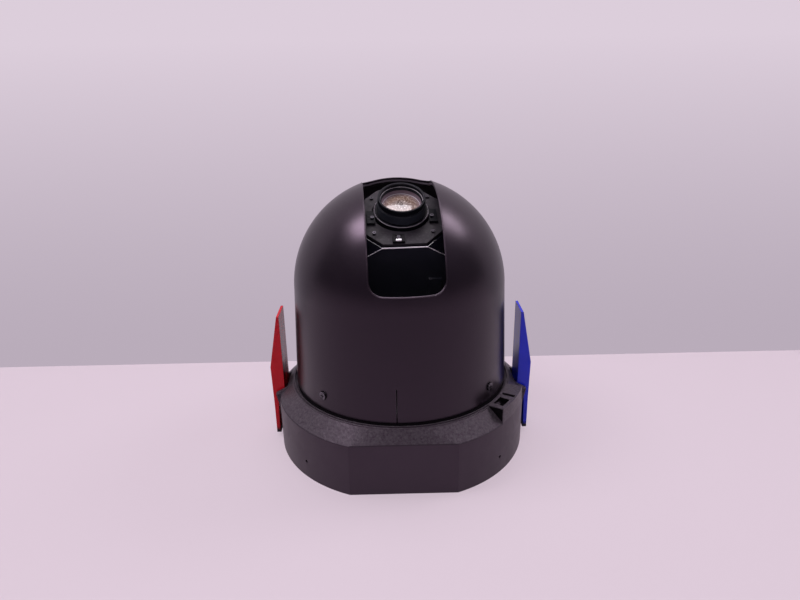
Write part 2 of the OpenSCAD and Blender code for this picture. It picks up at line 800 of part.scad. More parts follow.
module turntable() {
    color("#4a4a50") on_pan() difference() {
        union() {
            translate([0, 0, table_z]) cylinder(r = table_r, h = turntable_t);
            translate([0, 0, bearing_z]) cylinder(r = hub_r, h = table_z - bearing_z);
            translate([0, 0, bearing_z + bearing_w])
                cylinder(r = shoulder_r, h = table_z - bearing_z - bearing_w);
            for (a = [-drum_screw_angle, drum_screw_angle, 180 - drum_screw_angle, 180 + drum_screw_angle])
                rotate([0, 0, a]) intersection() {
                    translate([-tab_w / 2, -tab_r, table_z])
                        cube([tab_w, tab_t + 1, drum_screw_z + tab_w / 2 - table_z]);
                    cylinder(r = tab_r, h = far);
                }
            for (x = [-drive_post_x, drive_post_x], y = [-drive_post_y, drive_post_y])
                translate([x, y, table_z]) cylinder(r = post_r, h = drive_z - table_z);
        }
        cylinder(r = hub_bore_r, h = far);
        for (a = [-drum_screw_angle, drum_screw_angle, 180 - drum_screw_angle, 180 + drum_screw_angle])
            rotate([90, 0, a]) translate([0, drum_screw_z, tab_r - tab_t - 2]) cylinder(r = screw_m, h = far);
        for (x = [-drive_post_x, drive_post_x], y = [-drive_post_y, drive_post_y])
            translate([x, y, table_top]) cylinder(r = screw_s, h = far);
        for (a = gear_screw_angles) rotate([0, 0, a]) translate([gear_screw_r, 0, 0])
            cylinder(r = screw_m + screw_fit, h = far);
        for (x = [-1, 1], y = [-1, 1])
            translate([head_x + x * (yoke_out + yoke_foot / 2), y * yoke_w / 4, table_z - 1])
                cylinder(r = screw_m, h = far);
    }
}

module pan_gear() {
    color("#d7d2c2") difference() {
        translate([0, 0, gear_z]) linear_extrude(gear_t) difference() {
            gear_2d(pan_module, pan_gear_teeth, 90);
            circle(r = gear_bore_r);
        }
        on_pan() for (a = gear_screw_angles) rotate([0, 0, a]) translate([gear_screw_r, 0, gear_z + 0.8])
            cylinder(r = screw_m, h = far);
    }
}

module pan_gear_screws() {
    color("silver") on_pan() for (a = gear_screw_angles)
        rotate([0, 0, a]) translate([gear_screw_r, 0, table_top]) screw(screw_m, turntable_t + gear_t - 1);
}

module inner_race() {
    color("#b9bcc2") rotate_extrude() difference() {
        translate([hub_r + run_fit, bearing_z])
            square([ball_pitch_r - race_gap - hub_r - run_fit, bearing_w]);
        translate([ball_pitch_r, bearing_z + bearing_w / 2]) circle(r = ball_r + ball_gap);
    }
}

module slip_ring_rotor() {
    color("#c5a24a") {
        translate([0, 0, boss_z - slip_flange_t - slip_l + 2.5])
            cylinder(r = slip_rotor_r, h = table_top - boss_z + slip_flange_t + slip_l - 2.5);
        translate([0, 0, table_top]) cylinder(r = rotor_flange_r, h = 2);
    }
}

// Yoke arm on the right side, foot outward
module yoke_arm() {
    difference() {
        union() {
            translate([yoke_x, -yoke_w / 2, table_top]) cube([yoke_t, yoke_w, tilt_z - table_top]);
            translate([0, 0, tilt_z]) x_rod(yoke_w / 2, yoke_x, yoke_t);
            translate([yoke_x, -yoke_w / 2, table_top]) cube([yoke_t + yoke_foot, yoke_w, yoke_foot_t]);
        }
        translate([0, 0, tilt_z]) x_rod(trunnion_r + bush_wall, yoke_x - 1, yoke_t + 2);
        for (y = [-1, 1]) translate([yoke_out + yoke_foot / 2, y * yoke_w / 4, table_top - 1])
            cylinder(r = screw_m + screw_fit, h = far / 4);
    }
}

module left_yoke() {
    color("#55555c") on_head() mirror([1, 0, 0]) yoke_arm();
}

module right_yoke() {
    color("#55555c") on_head() difference() {
        union() {
            yoke_arm();
            for (y = [-1, 1]) translate([0, y * stand_y, stand_z])
                x_rod(stand_r, yoke_x + yoke_t / 2, motor_x - yoke_x - yoke_t / 2);
        }
        for (y = [-1, 1]) translate([0, y * stand_y, stand_z]) x_rod(screw_s, yoke_out, far);
    }
}

module yoke_screws() {
    color("silver") on_head() for (x = [-1, 1], y = [-1, 1])
        translate([x * (yoke_out + yoke_foot / 2), y * yoke_w / 4, table_top + yoke_foot_t])
            screw(screw_m, yoke_foot_t + turntable_t - 0.5);
}

module tilt_bushes() {
    color("#c9a55a") on_head() for (side = [0, 1]) mirror([side, 0, 0])
        translate([0, 0, tilt_z]) difference() {
            union() {
                x_rod(trunnion_r + bush_wall, yoke_x, yoke_t);
                x_rod(trunnion_r + bush_wall + 2, yoke_out, bush_flange);
            }
            x_rod(trunnion_r + run_fit, yoke_x - 1, yoke_t + 3);
        }
}

module tilt_motor() {
    color("#8d8f94") on_head() difference() {
        union() {
            translate([motor_x, -stand_y - 4, stand_z - 4])
                cube([motor_flange_t, 2 * stand_y + 8, tilt_pinion_z - stand_z + tilt_motor_r + 4]);
            translate([0, 0, tilt_pinion_z]) x_rod(tilt_motor_r, motor_x, motor_flange_t + tilt_motor_l);
        }
        translate([0, 0, tilt_pinion_z]) x_rod(tilt_shaft_r + run_fit, motor_x - 1, tilt_motor_l);
        for (y = [-1, 1]) translate([0, y * stand_y, stand_z]) {
            x_rod(screw_s + screw_fit, motor_x - 1, far);
            x_rod(head_ratio * screw_s + seat_gap, motor_x + motor_flange_t, far);
        }
    }
}

module tilt_motor_screws() {
    color("silver") on_head() for (y = [-1, 1])
        translate([motor_x + motor_flange_t, y * stand_y, stand_z]) rotate([0, 90, 0]) screw(screw_s, 6);
}

module drive_board() {
    color("#1f5a35") on_pan() {
        difference() {
            translate([-drive_w / 2, -drive_d / 2, drive_z]) cube([drive_w, drive_d, board_t]);
            for (x = [-drive_post_x, drive_post_x], y = [-drive_post_y, drive_post_y])
                translate([x, y, drive_z - 1]) cylinder(r = screw_s + screw_fit, h = far);
        }
        for (y = [-chip_d - chip_apart / 2, chip_apart / 2])
            translate([-chip_w / 2, y, drive_z + board_t]) cube([chip_w, chip_d, chip_t]);
    }
}

module drive_board_screws() {
    color("silver") on_pan() for (x = [-drive_post_x, drive_post_x], y = [-drive_post_y, drive_post_y])
        translate([x, y, drive_z + board_t]) screw(screw_s, 5);
}

module tilt_shaft() {
    color("silver") on_head() translate([0, 0, tilt_pinion_z])
        x_rod(tilt_shaft_r, tilt_gear_x - 0.4, motor_x - tilt_gear_x + tilt_motor_l - 2);
}

module tilt_pinion() {
    color("#c9b26a") on_head() translate([tilt_gear_x + 0.2, 0, tilt_pinion_z]) rotate([0, 90, 0])
        linear_extrude(tilt_gear_t - 0.4) difference() {
            gear_2d(tilt_module, tilt_pinion_teeth, 180 + 180 / tilt_pinion_teeth);
            circle(r = tilt_shaft_r);
        }
}

// Camera

// Side outline of the housing, drawn in by inset: (y, z) points
module cam_outline(inset) {
    polygon([[-cam_front + inset, -cam_down + inset], [cam_back - inset, -cam_down + inset],
        [cam_back - inset, cam_up - rear_chamfer], [cam_back - rear_chamfer, cam_up - inset],
        [-cam_front + inset, cam_up - inset]]);
}

// Block of the housing with its four front corners cut off
module cam_block(inset) {
    half = cam_w / 2 - inset;
    difference() {
        translate([-half, 0, 0]) rotate([90, 0, 90]) linear_extrude(2 * half) cam_outline(inset);
        for (x = [-1, 1], top = [0, 1]) {
            z = top == 1 ? cam_up : -cam_down;
            up = top == 1 ? 1 : -1;
            beyond([x * (cam_w / 2 - inset * 1.7), -cam_front, z - up * (corner_cut + inset * 0.2)],
                [x / corner_cut, -1 / corner_depth, up / corner_cut]);
        }
    }
}

// Octagon of the front face, drawn in by inset
module face_outline(inset) {
    w = cam_w / 2 - inset;
    u = cam_up - inset;
    d = cam_down - inset;
    c = corner_cut - 0.6 * inset;
    polygon([[-w + c, -d], [w - c, -d], [w, -d + c], [w, u - c], [w - c, u], [-w + c, u], [-w, u - c],
        [-w, -d + c]]);
}

module camera_housing() {
    color("#232327") on_tilt() difference() {
        union() {
            cam_block(0);
            translate([side_pad_x, side_pad_y, -cam_down - side_pad_t])
                cube([side_pad_w, side_pad_l, side_pad_t + 0.1]);
        }
        translate([0, cam_wall + 0.01, 0]) cam_block(cam_wall);
        rotate([90, 0, 0]) cylinder(r = barrel_r + seat_gap, h = far);
        for (x = [-1, 1], z = [corner_screw_down, corner_screw_up])
            translate([x * corner_screw_x, 0, z]) rotate([90, 0, 0])
                cylinder(r = tiny_screw, h = far, $fn = 32);
        x_rod(trunnion_r, -far / 2, far);
        for (a = [45 : 90 : 315]) rotate([a, 0, 0]) translate([0, 0, trunnion_r + 3])
            x_rod(small_screw, -far / 2, far);
    }
}

// Cap that closes the housing's open rear end
module rear_cover() {
    color("#1b1b1f") on_tilt() difference() {
        translate([-rear_w / 2, rear_y, -cam_down + cam_wall + seat_gap]) cube([rear_w, rear_t, rear_h]);
        for (x = [-1, 1]) translate([x * rear_screw_x, far / 2, rear_screw_z]) rotate([90, 0, 0])
            cylinder(r = small_screw + screw_fit, h = far);
    }
}

module rear_cover_screws() {
    color("silver") on_tilt() for (x = [-1, 1])
        translate([x * rear_screw_x, rear_y, rear_screw_z]) rotate([90, 0, 0])
            screw(small_screw, rear_t - 0.1);
}

module face_plate() {
    color("#2f2e33") on_tilt() translate([0, -cam_front, 0]) rotate([90, 0, 0])
        linear_extrude(face_t) difference() {
            face_outline(face_inset);
            circle(r = barrel_r + seat_gap);
            for (x = [-1, 1], z = [corner_screw_down, corner_screw_up])
                translate([x * corner_screw_x, z]) circle(r = tiny_screw + screw_fit, $fn = 32);
            for (x = [-1, 1]) translate([x * lug_screw_x, lug_screw_z]) circle(r = tiny_screw, $fn = 32);
            translate([clip_x, clip_z]) circle(r = tiny_screw, $fn = 32);
        }
}

module face_screws() {
    color("#77777d") on_tilt() for (x = [-1, 1], z = [corner_screw_down, corner_screw_up])
        translate([x * corner_screw_x, -face_front, z]) rotate([90, 0, 0]) low_screw(tiny_screw, 2.4);
}

module lens_barrel() {
    color("#151518") on_tilt() difference() {
        union() {
            round_lens() polygon([[rim_bore, rim_reach], [rim_r, rim_reach], [rim_r, sleeve_reach],
                [sleeve_r, sleeve_reach], [sleeve_r, collar_reach], [collar_r, collar_reach],
                [collar_r, face_front - groove_d], [barrel_r, face_front - groove_d],
                [barrel_r, -barrel_back], [barrel_bore, -barrel_back], [barrel_bore, barrel_front],
                [glass_bore, barrel_front], [glass_bore, ring_seat], [rim_bore, ring_seat]]);
            for (x = [-1, 1]) difference() {
                translate([x * lug_x - lug_w / 2, -face_front - lug_t, lug_z - lug_h / 2])
                    cube([lug_w, lug_t, lug_h]);
                rotate([90, 0, 0]) cylinder(r = collar_r - 0.4, h = far);
            }
        }
        for (x = [-1, 1]) translate([x * lug_screw_x, 0, lug_screw_z]) rotate([90, 0, 0])
            cylinder(r = tiny_screw + screw_fit, h = far);
        for (x = [-1, 1]) translate([x * rod_x, barrel_front, 0]) rotate([90, 0, 0])
            cylinder(r = rod_r + run_fit, h = 2 * barrel_front + 1);
    }
}

module lens_screws() {
    color("#d9d9dd") on_tilt() {
        for (x = [-1, 1]) translate([x * lug_screw_x, -face_front - lug_t, lug_screw_z]) rotate([90, 0, 0])
            low_screw(tiny_screw, face_t + 1);
        translate([clip_x, -face_front - clip_t, clip_z]) rotate([90, 0, 0])
            low_screw(tiny_screw, face_t + 0.6);
    }
}

// Cone that holds the front lens against its seat
module front_ring() {
    color("#0f0f12") on_tilt() round_lens()
        polygon([[glass_bore - ring_lip, ring_seat], [rim_bore, ring_seat], [rim_bore, ring_seat + ring_rise],
            [rim_bore - 0.2, ring_seat + ring_rise], [glass_bore - ring_lip, ring_seat + 0.4]]);
}

// Front lens: a disc with a bulging face
module front_lens() {
    face = rim_reach - glass_depth;
    dome_r = (pow(glass_r, 2) + pow(glass_bulge, 2)) / (2 * glass_bulge);
    color("#cfd8e6", 0.5) on_tilt() rotate([90, 0, 0]) intersection() {
        translate([0, 0, face - glass_t]) cylinder(r = glass_r, h = glass_t);
        translate([0, 0, face - 0.05 - dome_r]) sphere(r = dome_r);
    }
}

// Clip at the foot of the face plate, with a window and a round tongue
module face_clip() {
    color("#2f2e33") on_tilt() translate([clip_x, -face_front, clip_z]) rotate([90, 0, 0]) {
        difference() {
            translate([-clip_w / 2, -clip_h / 2, 0]) cube([clip_w, clip_h, clip_t]);
            translate([-clip_w / 4, clip_h / 2 - 2, -1]) cube([clip_w / 2, 1.2, far]);
            cylinder(r = tiny_screw + screw_fit, h = far, center = true);
        }
        translate([0, clip_tongue_z, clip_t]) x_rod(clip_tongue_r, -clip_w / 4, clip_w / 2);
    }
}

module guide_rods() {
    color("silver") on_tilt() for (x = [-1, 1])
        translate([x * rod_x, barrel_back, 0]) rotate([90, 0, 0])
            cylinder(r = rod_r, h = barrel_back + barrel_front - 0.5);
}

module sensor_board() {
    color("#1f5a35") on_tilt() translate([-sensor_board_w / 2, barrel_back, -sensor_board_w / 2])
        cube([sensor_board_w, board_t, sensor_board_w]);
}

module image_sensor() {
    color("#30384a") on_tilt() translate([-sensor_w / 2, barrel_back - sensor_t, -sensor_h / 2])
        cube([sensor_w, sensor_t, sensor_h]);
}

module lens_motors() {
    color("#8d8f94") on_tilt() for (x = [-1, 1])
        translate([x * lens_motor_x, barrel_back - 0.2, lens_motor_z]) rotate([90, 0, 0])
            cylinder(r = lens_motor_r, h = lens_motor_l);
}

module trunnion(reach) {
    difference() {
        union() {
            x_rod(trunnion_r, cam_w / 2 - cam_wall, reach - cam_w / 2 + cam_wall);
            x_rod(trunnion_r + 5.5, cam_w / 2, trunnion_flange);
        }
        for (a = [45 : 90 : 315]) rotate([a, 0, 0]) translate([0, 0, trunnion_r + 3]) {
            x_rod(small_screw + screw_fit, 0, far);
            x_rod(head_ratio * small_screw + 0.1, cam_w / 2 + trunnion_flange - 1, far);
        }
    }
}

module left_trunnion() {
    color("#a3a5aa") on_tilt() mirror([1, 0, 0]) trunnion(yoke_out + bush_flange + 0.5);
}

module right_trunnion() {
    color("#a3a5aa") on_tilt() trunnion(tilt_gear_x + tilt_gear_t + 0.3);
}

module trunnion_screws() {
    color("silver") on_tilt() for (side = [0, 1], a = [45 : 90 : 315]) mirror([side, 0, 0])
        rotate([a, 0, 0]) translate([cam_w / 2 + trunnion_flange - 1, 0, trunnion_r + 3]) rotate([0, 90, 0])
            low_screw(small_screw, 2);
}

module tilt_gear() {
    color("#d7d2c2") on_head() translate([tilt_gear_x, 0, tilt_z]) rotate([0, 90, 0])
        linear_extrude(tilt_gear_t) difference() {
            gear_2d(tilt_module, tilt_gear_teeth, 0);
            circle(r = trunnion_r);
        }
}

// Sliding lens groups
module carrier(y, bore) {
    translate([0, y + group_t, 0]) rotate([90, 0, 0]) difference() {
        cylinder(r = group_r, h = group_t);
        translate([0, 0, -1]) cylinder(r = bore, h = group_t + 2);
        for (x = [-1, 1]) translate([x * rod_x, 0, -1]) cylinder(r = rod_r + run_fit, h = group_t + 2);
    }
}

module lens_disc(y, r) {
    translate([0, y + group_t - 0.5, 0]) rotate([90, 0, 0]) cylinder(r = r, h = group_t - 1);
}

module zoom_carrier() {
    color("#2b2b30") on_tilt() carrier(zoom_y, 9);
}

module zoom_lens() {
    color("#cfd8e6", 0.5) on_tilt() lens_disc(zoom_y, 9);
}

module focus_carrier() {
    color("#2b2b30") on_tilt() carrier(focus_y, 8);
}

module focus_lens() {
    color("#cfd8e6", 0.5) on_tilt() lens_disc(focus_y, 8);
}

base_housing();
base_plate();
base_plate_screws();
main_board();
main_board_screws();
base_connector();
contact_pads();
pan_motor();
pan_motor_screws();
outer_race();
bearing_balls();
slip_ring_stator();
latch_pins();
latch_springs();
red_latch();
blue_latch();
pan_shaft();
pan_pinion();
drum_shell();
drum_screws();
turntable();
pan_gear();
pan_gear_screws();
inner_race();
slip_ring_rotor();
left_yoke();
right_yoke();
yoke_screws();
tilt_bushes();
tilt_motor();
tilt_motor_screws();
drive_board();
drive_board_screws();
tilt_shaft();
tilt_pinion();
camera_housing();
rear_cover();
rear_cover_screws();
face_plate();
face_screws();
lens_barrel();
lens_screws();
front_ring();
front_lens();
face_clip();
guide_rods();
sensor_board();
image_sensor();
lens_motors();
left_trunnion();
right_trunnion();
trunnion_screws();
tilt_gear();
zoom_carrier();
zoom_lens();
focus_carrier();
focus_lens();
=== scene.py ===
"""Looks of a pan, tilt and zoom dome drive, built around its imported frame.

Sizes are in millimetres and become metres where a mesh or a pattern is made. The camera head has a
frame of its own, in which the lens looks along -Y and +Z is the top of the head.
"""

import json
import logging
import math
from dataclasses import dataclass
from enum import Enum
from typing import Any

import bmesh
import bpy
import numpy as np
from bpy.types import Material, NodeSocket as Socket, NodeTree as Tree, Object
from mathutils import Matrix, Vector


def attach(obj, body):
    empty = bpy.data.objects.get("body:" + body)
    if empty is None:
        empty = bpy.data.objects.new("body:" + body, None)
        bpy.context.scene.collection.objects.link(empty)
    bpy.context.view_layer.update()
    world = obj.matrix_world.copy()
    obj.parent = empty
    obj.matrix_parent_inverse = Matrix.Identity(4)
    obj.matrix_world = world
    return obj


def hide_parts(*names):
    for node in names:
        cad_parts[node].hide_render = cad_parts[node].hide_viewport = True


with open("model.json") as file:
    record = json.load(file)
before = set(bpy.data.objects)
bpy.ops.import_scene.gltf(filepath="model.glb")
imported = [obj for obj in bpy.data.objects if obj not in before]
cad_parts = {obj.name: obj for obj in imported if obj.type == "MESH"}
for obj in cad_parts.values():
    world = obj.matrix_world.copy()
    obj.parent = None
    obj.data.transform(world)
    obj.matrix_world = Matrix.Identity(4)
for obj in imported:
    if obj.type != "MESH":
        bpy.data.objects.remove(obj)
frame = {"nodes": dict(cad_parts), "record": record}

MM = 0.001
SLOT_OF = {part["node"]: part["material_slot"] for part in frame["record"]["subparts"]}
Triple = tuple[float, float, float]

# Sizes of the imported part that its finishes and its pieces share
BASE_R = 80.7
FLAT_Y = 74.2
WALL_Z = 33.1
RING_R = 70.0
RING_Z = 43.4
KEY_DEG = (47.7, 71.0)
DOME_Z = 105.8
HEAD_FLOOR = 29.3

# How meshes are treated: edges that stay sharp, distances within which points are one
SHARP_DEG = 35.0
SOFT_SHARP_DEG = 40.0
ONE_POINT = 1e-7
NO_LENGTH = 1e-8
ONE_CAD_POINT = 2e-6
ONE_FLAT_DEG = 0.5
ROUND_FROM_DEG = 30.0
ROUND_STEPS = 3

log = logging.getLogger("dome_drive")


class Body(Enum):
    """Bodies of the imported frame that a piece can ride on."""

    BASE = "base"
    RED = "red_latch"
    BLUE = "blue_latch"
    PAN_DRIVE = "pan_drive"
    PAN = "pan"
    TILT_DRIVE = "tilt_drive"
    TILT = "tilt"
    ZOOM = "zoom"
    FOCUS = "focus"


def linear(code: str) -> tuple[float, float, float, float]:
    """Turn an sRGB hex colour into linear RGBA.

    Args:
        code: colour as "#rrggbb".

    Returns:
        Linear red, green, blue and an alpha of 1.
    """
    s = np.array([int(code[i:i + 2], 16) for i in (1, 3, 5)]) / 255.0
    rgb = np.where(s <= 0.04045, s / 12.92, ((s + 0.055) / 1.055) ** 2.4)
    return (*rgb.tolist(), 1.0)


def per_mm(size: float) -> float:
    """Scale of a pattern on Object coordinates whose cells measure size millimetres."""
    return 1.0 / (size * MM)


def add(tree: Tree, kind: str, sockets: dict | None = None, out: int | str = 0,
        **settings: Any) -> Socket | None:
    """Add one shader node, with its settings and its input sockets.

    Args:
        tree: node tree that gets the node.
        kind: node type without its ShaderNode prefix.
        sockets: input name or number to a value, or to an output that is linked to it.
        out: name or number of the output to give back.
        settings: properties of the node itself.

    Returns:
        The output, or None where the node has none. The output's node holds the other outputs.
    """
    node = tree.nodes.new("ShaderNode" + kind)
    for key, value in settings.items():
        setattr(node, key, value)
    for key, value in (sockets or {}).items():
        if isinstance(value, Socket):
            tree.links.new(value, node.inputs[key])
        else:
            node.inputs[key].default_value = value
    return node.outputs[out] if node.outputs else None


def near(tree: Tree, value: Socket, at: float, none: float, full: float) -> Socket:
    """Share that falls from 1 to 0 with the distance between a value and a number.

    Args:
        tree: node tree of the material.
        value: the value.
        at: the number.
        none: distance from which the share is 0.
        full: distance up to which the share is 1.

    Returns:
        The share.
    """
    off = add(tree, "Math", {0: value, 1: at}, operation="SUBTRACT")
    off = add(tree, "Math", {0: off}, operation="ABSOLUTE")
    return add(tree, "MapRange", {"Value": off, "From Min": none, "From Max": full})


@dataclass(frozen=True)
class Finish:
    """A surface as it was made: each kind of finish says how its shader is put together."""

    name: str

    def shade(self, tree: Tree) -> Socket:
        """Build the shader nodes and give back the shader's output."""
        raise NotImplementedError

    def material(self) -> Material:
        """Make the Blender material.

        Returns:
            A node material that is named for the finish.
        """
        made = bpy.data.materials.new(self.name)
        made.use_nodes = True
        made.node_tree.nodes.clear()
        add(made.node_tree, "OutputMaterial", {"Surface": self.shade(made.node_tree)})
        return made


@dataclass(frozen=True)
class MouldedPlastic(Finish):
    """Injection moulded plastic: slow colour drift, spark grain, rubbed edges and fine dust.

    Fields that end in _mm, and grain_depth, are in millimetres; wear, dust and scuff are shares.
    """

    colour: str
    shadow: str
    worn: str
    rough: float
    grain_mm: float = 0.9
    grain_depth: float = 0.012
    drift_mm: float = 26.0
    edge_mm: float = 0.45
    wear: float = 0.35
    wear_mm: float = 7.0
    dust: float = 0.05
    dust_mm: float = 1.6
    dust_tone: str = "#b9b0b8"
    scuff: float = 0.1
    scuff_mm: float = 9.0
    shine: float = 0.5
    cast: str = "#ffffff"

    def tint(self, tree: Tree, coords: Socket, drift: Socket) -> Socket:
        """Body colour before wear and dust: the two shades mixed by the slow drift."""
        return add(tree, "Mix", {0: drift, 6: linear(self.colour), 7: linear(self.shadow)}, 2,
                   data_type="RGBA")

    def relief(self, tree: Tree, coords: Socket) -> Socket:
        """Height of the grain in millimetres: a fine noise as tall as the tool's spark marks."""
        noise = add(tree, "TexNoise", {"Vector": coords, "Scale": per_mm(self.grain_mm),
                                       "Detail": 3.0, "Roughness": 0.6})
        return add(tree, "Math", {0: noise, 1: self.grain_depth}, operation="MULTIPLY")

    def trim(self, tree: Tree, coords: Socket, edge: Socket, colour: Socket) -> Socket:
        """Work over the edges of a colour: rubbed pale in patches.

        Args:
            tree: node tree of the material.
            coords: place on the piece.
            edge: share that is 0 on a face and 1 on an edge.
            colour: colour before.

        Returns:
            The colour after.
        """
        patchy = add(tree, "TexNoise", {"Vector": coords, "Scale": per_mm(self.wear_mm),
                                        "Detail": 5.0})
        share = add(tree, "Math", {0: patchy, 1: self.wear}, operation="MULTIPLY")
        rubbed = add(tree, "Math", {0: edge, 1: share}, operation="MULTIPLY")
        return add(tree, "Mix", {0: rubbed, 6: colour, 7: linear(self.worn)}, 2, data_type="RGBA")

    def facing(self, tree: Tree, coords: Socket, rounded: Socket) -> Socket:
        """Normal under the grain: the one whose edges are rounded."""
        return rounded

    def shade(self, tree: Tree) -> Socket:
        """Plastic body, with wear on its edges, dust on its upward faces and scuffs in its gloss.

        Args:
            tree: node tree of the material.

        Returns:
            The shader's output.
        """
        coords = add(tree, "TexCoord", out="Object")
        drift = add(tree, "TexNoise", {"Vector": coords, "Scale": per_mm(self.drift_mm),
                                       "Detail": 4.0, "Roughness": 0.65})
        normal = add(tree, "NewGeometry", out="Normal")
        rounded = add(tree, "Bevel", {"Radius": self.edge_mm * MM}, samples=6)
        turn = add(tree, "VectorMath", {0: rounded, 1: normal}, "Value", operation="DOT_PRODUCT")
        edge = add(tree, "MapRange", {"Value": turn, "From Min": 0.99, "From Max": 0.8})
        body = self.trim(tree, coords, edge, self.tint(tree, coords, drift))
        up = add(tree, "SeparateXYZ", {0: normal}, "Z")
        level = add(tree, "MapRange", {"Value": up, "From Min": 0.2, "To Max": self.dust})
        mote = add(tree, "TexNoise", {"Vector": coords, "Scale": per_mm(self.dust_mm),
                                      "Detail": 4.0, "Roughness": 0.75})
        mote = add(tree, "MapRange", {"Value": mote, "From Min": 0.5, "From Max": 0.72})
        dusty = add(tree, "Math", {0: level, 1: mote}, operation="MULTIPLY")
        colour = add(tree, "Mix", {0: dusty, 6: body, 7: linear(self.dust_tone)}, 2,
                     data_type="RGBA")
        handled = add(tree, "TexNoise", {"Vector": coords, "Scale": per_mm(self.scuff_mm),
                                         "Detail": 4.0, "Distortion": 0.8})
        rough = add(tree, "MapRange", {"Value": handled, "From Min": 0.3, "From Max": 0.7,
                                       "To Min": self.rough - self.scuff / 2,
                                       "To Max": self.rough + self.scuff})
        bump = add(tree, "Bump", {"Strength": 1.0, "Distance": MM,
                                  "Height": self.relief(tree, coords),
                                  "Normal": self.facing(tree, coords, rounded)})
        return add(tree, "BsdfPrincipled", {"Base Color": colour, "Roughness": rough,
                                            "Specular IOR Level": self.shine,
                                            "Specular Tint": linear(self.cast), "Normal": bump})


